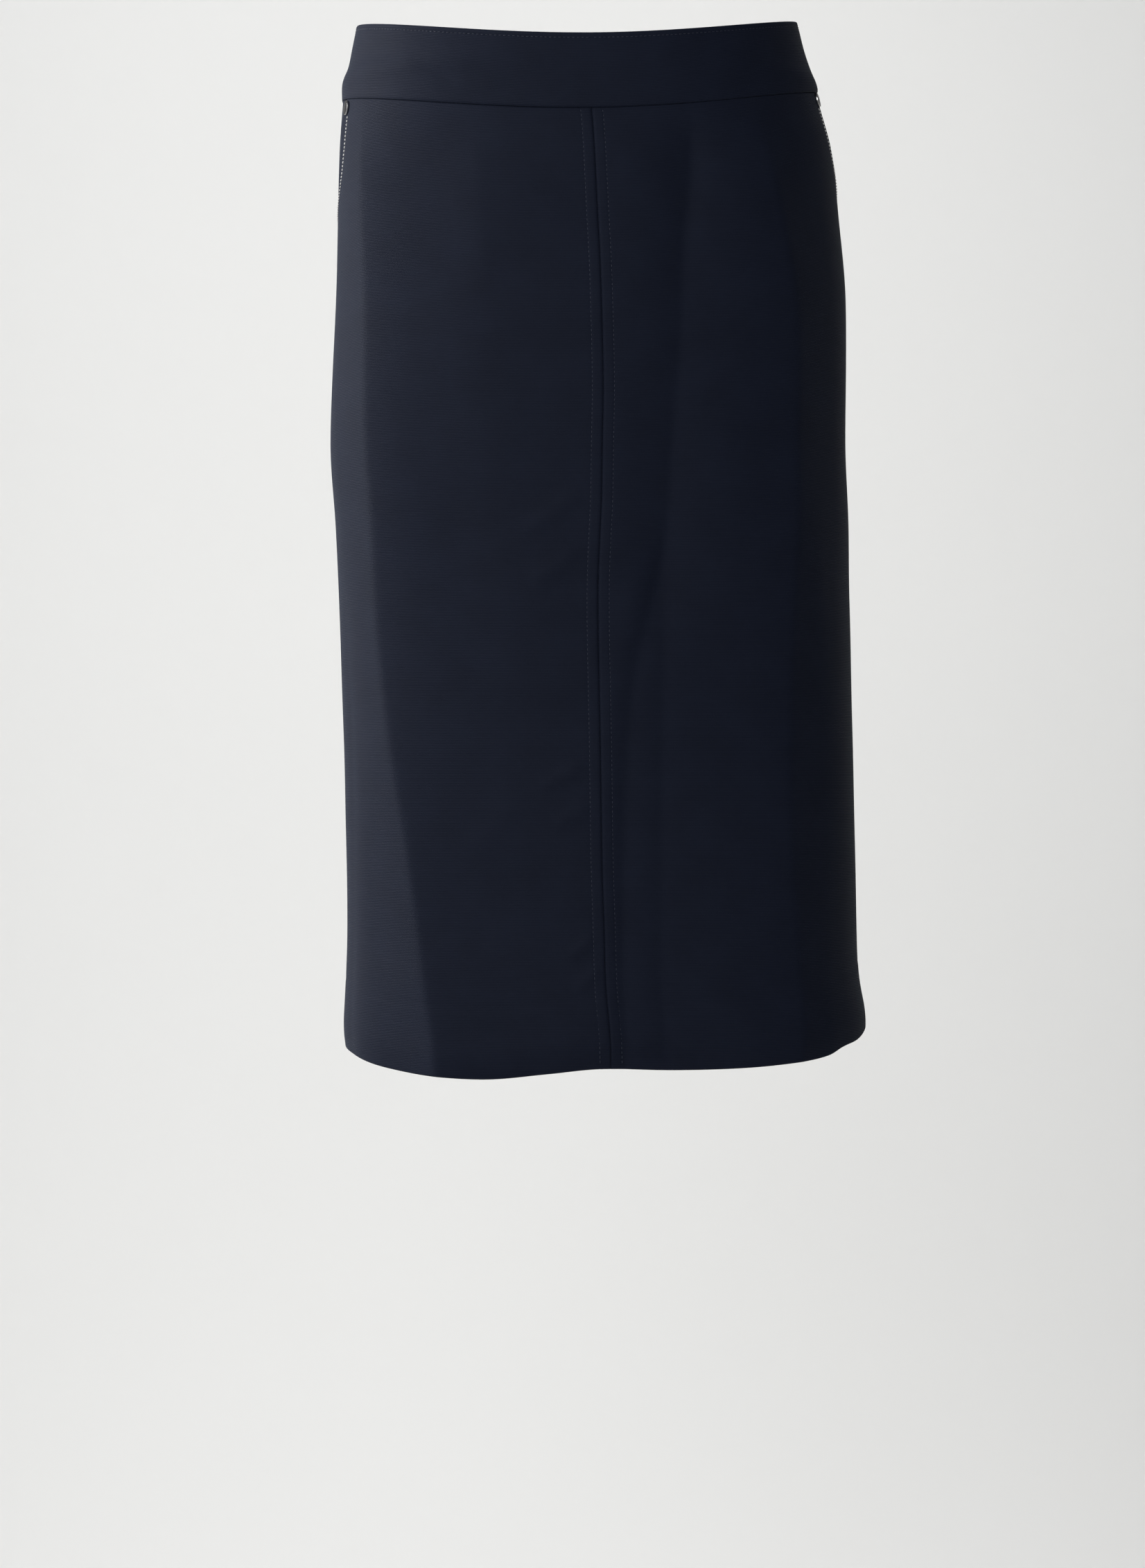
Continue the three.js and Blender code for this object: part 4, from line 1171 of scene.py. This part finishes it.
def make_pull():
    """A drop-shaped pull: a plate drawn out from its head, with a slot round the arch."""
    pull = add_block((0, ARCH_OUT, PULL_TOP - PULL_HEAD / 2), (PULL_WIDTH, PULL_THICK, PULL_HEAD))
    bpy.ops.object.mode_set(mode="EDIT")
    pick_faces(pull, lambda face: face.normal.z < -0.9)
    low = PULL_TOP - PULL_HEAD
    for length, widening in PULL_STEPS:
        bpy.ops.mesh.extrude_region_move(TRANSFORM_OT_translate={"value": (0, 0, -length * MM)})
        low -= length
        bpy.ops.transform.resize(value=(widening, 1, 1), center_override=(0, ARCH_OUT * MM, low * MM))
    bpy.ops.object.mode_set(mode="OBJECT")
    slot = add_block((0, ARCH_OUT, -ARCH_RADIUS), (SLOT_WIDTH, SLOT_DEPTH, SLOT_HEIGHT))
    select_only(pull)
    cut = pull.modifiers.new("Slot", "BOOLEAN")
    cut.object, cut.operation, cut.solver = slot, "DIFFERENCE", "EXACT"
    bpy.ops.object.modifier_apply(modifier=cut.name)
    bpy.data.objects.remove(slot)
    soften_edges(pull, 0.22, 3, angle=40)
    pull.name = pull.data.name = "zip_pull_tab"
    place_in_mesh(pull, slider_stand())
    shade_round(pull, 45)
    set_material(pull, nickel())
    return settle(pull, "zip_pull", body="pull")


def make_teeth():
    """The coil's teeth, in a row down the gap between the two tapes, hooked from both sides."""
    first = float(top_drop(np.float64(1.0))) + SLIDER_DROP + SLIDER_LENGTH + 1
    drops = np.arange(first, ZIP_LENGTH - 2, TOOTH_PITCH)
    shape, shape_faces = stitch_shape(TOOTH_LENGTH, TOOTH_WIDTH)
    points, faces = [], []
    for tooth, drop in enumerate(drops):
        shift = TOOTH_SHIFT if tooth % 2 else -TOOTH_SHIFT
        stand = stand_matrix(float(half_round(drop)), float(drop), 0.0)
        for x, y, z in shape:
            local = Vector((x + shift, TAPE_OUT - 0.1 + z, y)) * MM
            points.append(tuple((stand @ local) / MM))
        faces += [tuple(corner + tooth * len(shape) for corner in face) for face in shape_faces]
    piece = new_object("zip_teeth", points, faces, np.zeros((len(points), 2)), tape_material())
    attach(piece, "skirt")
    return piece


# What a user can change


class SkirtLooks(bpy.types.PropertyGroup):
    cloth: bpy.props.FloatVectorProperty(
        name="Cloth", description="Colour of the ribs' tops", subtype="COLOR", size=4, min=0, max=1,
        default=(0.0104, 0.0142, 0.029, 1),
    )
    # Painted shade: the colour between the ribs is a darker navy than the ribs' tops
    cloth_hollow_shade: bpy.props.FloatVectorProperty(
        name="Cloth hollow shade", description="Colour between the ribs", subtype="COLOR", size=4, min=0, max=1,
        default=(0.0082, 0.0111, 0.0232, 1),
    )
    navy_thread: bpy.props.FloatVectorProperty(
        name="Navy thread", description="Colour of the topstitching", subtype="COLOR", size=4, min=0, max=1,
        default=(0.032, 0.039, 0.068, 1),
    )
    white_thread: bpy.props.FloatVectorProperty(
        name="White thread", description="Colour of the pocket stitches", subtype="COLOR", size=4,
        min=0, max=1, default=(0.88, 0.87, 0.85, 1),
    )
    rib_pitch: bpy.props.FloatProperty(
        name="Rib pitch", description="From one cross rib to the next", unit="LENGTH", precision=5,
        default=1.08 * MM,
    )
    end_pitch: bpy.props.FloatProperty(
        name="End pitch", description="From one lengthwise end to the next", unit="LENGTH", precision=5,
        default=0.55 * MM,
    )


class SkirtStitching(bpy.types.PropertyGroup):
    pitch: bpy.props.FloatProperty(
        name="Pitch", description="From one stitch to the next", unit="LENGTH", precision=5,
        default=3.0 * MM,
    )
    pocket_pitch: bpy.props.FloatProperty(
        name="Pocket pitch", description="From one white stitch to the next", unit="LENGTH", precision=5,
        default=2.5 * MM,
    )
    length: bpy.props.FloatProperty(
        name="Length", description="Length of thread that shows in a stitch", unit="LENGTH", precision=5,
        default=1.9 * MM,
    )
    thread: bpy.props.FloatProperty(
        name="Thread", description="Thickness of the thread", unit="LENGTH", precision=5,
        default=0.46 * MM,
    )


class SkirtStage(bpy.types.PropertyGroup):
    distance: bpy.props.FloatProperty(
        name="Camera distance", description="From the camera to the skirt's middle", unit="LENGTH",
        default=2.6,
    )
    lens: bpy.props.FloatProperty(
        name="Lens", description="Focal length in millimetres on a 36 mm frame", unit="CAMERA",
        default=88.0,
    )
    swing: bpy.props.FloatProperty(
        name="Camera swing", description="How far the camera stands to the wearer's right", subtype="ANGLE",
        default=math.radians(4.5),
    )
    backdrop: bpy.props.FloatVectorProperty(
        name="Backdrop", description="Colour of the floor and backdrop", subtype="COLOR", size=4,
        min=0, max=1, default=(0.8, 0.8, 0.79, 1),
    )


class MakesPieces:
    bl_options = {"REGISTER", "UNDO"}


class SKIRT_OT_fronts(MakesPieces, bpy.types.Operator):
    """Makes the two front panels"""

    bl_idname = "skirt.fronts"
    bl_label = "Front panels"

    def execute(self, context):
        for side in (1, -1):
            panel = make_front(side)
        return {"FINISHED"}


class SKIRT_OT_backs(MakesPieces, bpy.types.Operator):
    """Makes the two back panels, with their darts"""

    bl_idname = "skirt.backs"
    bl_label = "Back panels"

    def execute(self, context):
        for side in (1, -1):
            panel = make_back(side)
        return {"FINISHED"}


class SKIRT_OT_hip_pieces(MakesPieces, bpy.types.Operator):
    """Makes the hip pieces behind the pocket mouths"""

    bl_idname = "skirt.hip_pieces"
    bl_label = "Hip pieces"

    def execute(self, context):
        for side in (1, -1):
            make_hip_piece(side)
        return {"FINISHED"}


class SKIRT_OT_waistband(MakesPieces, bpy.types.Operator):
    """Makes the shaped waistband in three pieces"""

    bl_idname = "skirt.waistband"
    bl_label = "Waistband"

    def execute(self, context):
        front = make_band(
            "band_front", "waistband_front",
            lambda drop: (side_seam_arc(drop, -1), side_seam_arc(drop, 1)), 150,
        )
        left = make_band(
            "band_back_left", "waistband_back_left",
            lambda drop: (side_seam_arc(drop, 1), half_round(drop) - back_gap(drop)), 70,
        )
        right = make_band(
            "band_back_right", "waistband_back_right",
            lambda drop: (back_gap(drop) - half_round(drop), side_seam_arc(drop, -1)), 70,
        )
        return {"FINISHED"}


class SKIRT_OT_topstitching(MakesPieces, bpy.types.Operator):
    """Sews the navy lines: two beside the centre front seam and one along the waistband's edge"""

    bl_idname = "skirt.topstitching"
    bl_label = "Navy topstitching"

    def execute(self, context):
        sewing = context.scene.skirt_stitching
        sizes = (sewing.pitch / MM, sewing.length / MM, sewing.thread / MM)
        top, bottom = float(seam_drop(np.float64(0.0))), float(hem_drop(np.float64(0.0)))
        drops = np.linspace(top + 0.6, bottom - 2.0, 900)
        for side, name in ((-1, "topstitch_right"), (1, "topstitch_left")):
            arcs = front_seam_arc(drops) + side * TOPSTITCH_OFFSET
            stitch_line(name, arcs, drops, -0.12, *sizes, navy_thread())
        last = BAND_STITCH_STOP
        for name, low, high in (("band_stitch_left", 0.0, last), ("band_stitch_right", -last, 0.0)):
            turns = np.linspace(low, high, 700)
            drops = top_drop(turns) + BAND_STITCH
            arcs = turns * half_round(drops)
            stitch_line(name, arcs, drops, BAND_PROUD - 0.1, *sizes, navy_thread())
        return {"FINISHED"}


class SKIRT_OT_pocket_stitching(MakesPieces, bpy.types.Operator):
    """Sews the white line along each pocket's mouth"""

    bl_idname = "skirt.pocket_stitching"
    bl_label = "White pocket stitching"

    def execute(self, context):
        sewing = context.scene.skirt_stitching
        for side, name in ((1, "pocket_stitch_left"), (-1, "pocket_stitch_right")):
            arcs, drops = pocket_line(side, inset=POCKET_STITCH)
            start = np.searchsorted(drops, pocket_top_drop(side) + RIVET_BELOW + RIVET_RADIUS + 0.1)
            pitch = sewing.pocket_pitch / MM
            length, width = POCKET_STITCH_SHARE * pitch, POCKET_THREAD * sewing.thread / MM
            stitch_line(name, arcs[start:], drops[start:], 0.3, pitch, length, width, white_thread())
        return {"FINISHED"}


class SKIRT_OT_rivets(MakesPieces, bpy.types.Operator):
    """Sets the rivets at the pockets' front ends"""

    bl_idname = "skirt.rivets"
    bl_label = "Rivets"

    def execute(self, context):
        for side in (1, -1):
            make_rivet(side)
        return {"FINISHED"}


class SKIRT_OT_zip(MakesPieces, bpy.types.Operator):
    """Makes the centre back zip: tapes, teeth, slider and pull"""

    bl_idname = "skirt.zip"
    bl_label = "Zip"

    def execute(self, context):
        for side in (1, -1):
            make_tape(side)
        make_teeth()
        make_slider()
        make_pull()
        return {"FINISHED"}


FLOOR_DEPTH, SWEEP_WIDTH, SWEEP_LENGTH, SWEEP_HEIGHT, SWEEP_ROUND = 2.4, 12, 8, 6, 2.2
AIR_COLOUR, AIR_STRENGTH = (0.94, 0.96, 1.0, 1), 0.045
WARM, COOL, PLAIN = (1.0, 0.99, 0.97), (0.98, 0.99, 1.0), (1.0, 1.0, 1.0)
LIGHTS = {
    "Key softbox": {
        "at": (-1.68, -0.15, 1.11), "to": (0, 0, -0.3), "size": (0.9, 0.9), "watts": 22, "colour": WARM,
    },
    "Side softbox": {
        "at": (-2.41, 0.65, 0.4), "to": (0, 0, -0.3), "size": (1.0, 1.8), "watts": 56, "colour": WARM,
    },
    "Fill softbox": {
        "at": (-1.0, -2.95, 0.5), "to": (0, 0, -0.3), "size": (1.5, 1.4), "watts": 48, "colour": COOL,
    },
    "Rim softbox": {
        "at": (1.95, 1.35, 0.2), "to": (0, 0, -0.35), "size": (0.8, 1.6), "watts": 1, "colour": COOL,
    },
    "Backdrop light": {
        "at": (-0.1, 1.5, 1.7), "to": (0, 3.9, -0.2), "size": (3.6, 0.5), "watts": 57.5, "colour": PLAIN,
    },
    "Backdrop foot light": {
        "at": (0.1, 1.4, -2.25), "to": (0, 4, -0.7), "size": (3.4, 0.4), "watts": 37, "colour": PLAIN,
    },
}
CAMERA_BELOW, CAMERA_ASIDE = 0.5145, 0.0047


class SKIRT_OT_stage(MakesPieces, bpy.types.Operator):
    """Sets the floor, backdrop, lights and camera"""

    bl_idname = "skirt.stage"
    bl_label = "Stage"

    def execute(self, context):
        settings = context.scene.skirt_stage
        self.make_sweep(settings)
        self.make_lights(context)
        self.make_camera(context, settings)
        context.scene.view_settings.view_transform = "Standard"
        return {"FINISHED"}

    def make_sweep(self, settings):
        bpy.ops.object.select_all(action="DESELECT")
        bpy.ops.mesh.primitive_plane_add(size=1, location=(0, 0, -FLOOR_DEPTH))
        sweep = bpy.context.object
        sweep.name = "studio_sweep"
        sweep.scale = (SWEEP_WIDTH, SWEEP_LENGTH, 1)
        bpy.ops.object.transform_apply()
        bpy.ops.object.mode_set(mode="EDIT")
        bpy.ops.mesh.select_all(action="DESELECT")
        mesh = bmesh.from_edit_mesh(sweep.data)
        for edge in mesh.edges:
            edge.select = all(corner.co.y > SWEEP_LENGTH / 2 - 0.1 for corner in edge.verts)
        mesh.select_flush_mode()
        bmesh.update_edit_mesh(sweep.data)
        bpy.ops.mesh.extrude_region_move(TRANSFORM_OT_translate={"value": (0, 0, SWEEP_HEIGHT)})
        bpy.ops.object.mode_set(mode="OBJECT")
        soften_edges(sweep, SWEEP_ROUND / MM, 24)
        shade_round(sweep, 60)
        material, tree, shader = new_material("Studio paper")
        place = add_node(tree, "ShaderNodeTexCoord")
        clouds = {"Vector": place.outputs["Object"], "Scale": 3.0, "Detail": 2.0}
        grain = add_node(tree, "ShaderNodeTexNoise", clouds)
        shade = tuple(0.99 * c for c in settings.backdrop[:3]) + (1,)
        blend_colours(tree, shader, grain.outputs["Fac"], shade, tuple(settings.backdrop))
        shader.inputs["Roughness"].default_value = 0.95
        shader.inputs["Specular IOR Level"].default_value = 0.0
        set_material(sweep, material)

    def make_lights(self, context):
        world = bpy.data.worlds.new("Studio air")
        world.use_nodes = True
        air = world.node_tree.nodes["Background"]
        air.inputs["Color"].default_value = AIR_COLOUR
        air.inputs["Strength"].default_value = AIR_STRENGTH
        context.scene.world = world
        for name, lamp in LIGHTS.items():
            bpy.ops.object.light_add(type="AREA", location=lamp["at"])
            light = context.object
            light.name = name
            light.data.shape = "RECTANGLE"
            light.data.size, light.data.size_y = lamp["size"]
            light.data.energy = lamp["watts"]
            light.data.color = lamp["colour"]
            way = Vector(lamp["to"]) - Vector(lamp["at"])
            light.rotation_euler = way.to_track_quat("-Z", "Y").to_euler()

    def make_camera(self, context, settings):
        swing = settings.swing
        forward = Vector((math.sin(swing), math.cos(swing), 0))
        right = Vector((math.cos(swing), -math.sin(swing), 0))
        place = -forward * settings.distance - right * CAMERA_ASIDE
        place.z = -CAMERA_BELOW
        bpy.ops.object.camera_add(location=place, rotation=(math.pi / 2, 0, -swing))
        camera = context.object
        camera.name = "Photo camera"
        camera.data.lens = settings.lens
        camera.data.sensor_width = 36.0
        camera.data.clip_end = 50.0
        context.scene.camera = camera


class SKIRT_PT_pieces(bpy.types.Panel):
    bl_idname = "SKIRT_PT_pieces"
    bl_label = "Pencil skirt"
    bl_space_type = "VIEW_3D"
    bl_region_type = "UI"
    bl_category = "Skirt"

    def draw(self, context):
        layout = self.layout
        for group in (context.scene.skirt_looks, context.scene.skirt_stitching, context.scene.skirt_stage):
            box = layout.box()
            for prop in group.bl_rna.properties:
                if prop.identifier not in {"rna_type", "name"}:
                    box.prop(group, prop.identifier)
        for operator in OPERATORS:
            layout.operator(operator.bl_idname)


OPERATORS = (
    SKIRT_OT_fronts,
    SKIRT_OT_backs,
    SKIRT_OT_hip_pieces,
    SKIRT_OT_waistband,
    SKIRT_OT_topstitching,
    SKIRT_OT_pocket_stitching,
    SKIRT_OT_rivets,
    SKIRT_OT_zip,
    SKIRT_OT_stage,
)
CLASSES = (SkirtLooks, SkirtStitching, SkirtStage, *OPERATORS, SKIRT_PT_pieces)


def register():
    for cls in CLASSES:
        bpy.utils.register_class(cls)
    bpy.types.Scene.skirt_looks = bpy.props.PointerProperty(type=SkirtLooks)
    bpy.types.Scene.skirt_stitching = bpy.props.PointerProperty(type=SkirtStitching)
    bpy.types.Scene.skirt_stage = bpy.props.PointerProperty(type=SkirtStage)


def unregister():
    del bpy.types.Scene.skirt_stage
    del bpy.types.Scene.skirt_stitching
    del bpy.types.Scene.skirt_looks
    for cls in reversed(CLASSES):
        bpy.utils.unregister_class(cls)


def main():
    register()
    bpy.ops.skirt.fronts()
    bpy.ops.skirt.backs()
    bpy.ops.skirt.hip_pieces()
    bpy.ops.skirt.waistband()
    bpy.ops.skirt.topstitching()
    bpy.ops.skirt.pocket_stitching()
    bpy.ops.skirt.rivets()
    bpy.ops.skirt.zip()
    bpy.ops.skirt.stage()


if __name__ == "__main__":
    main()
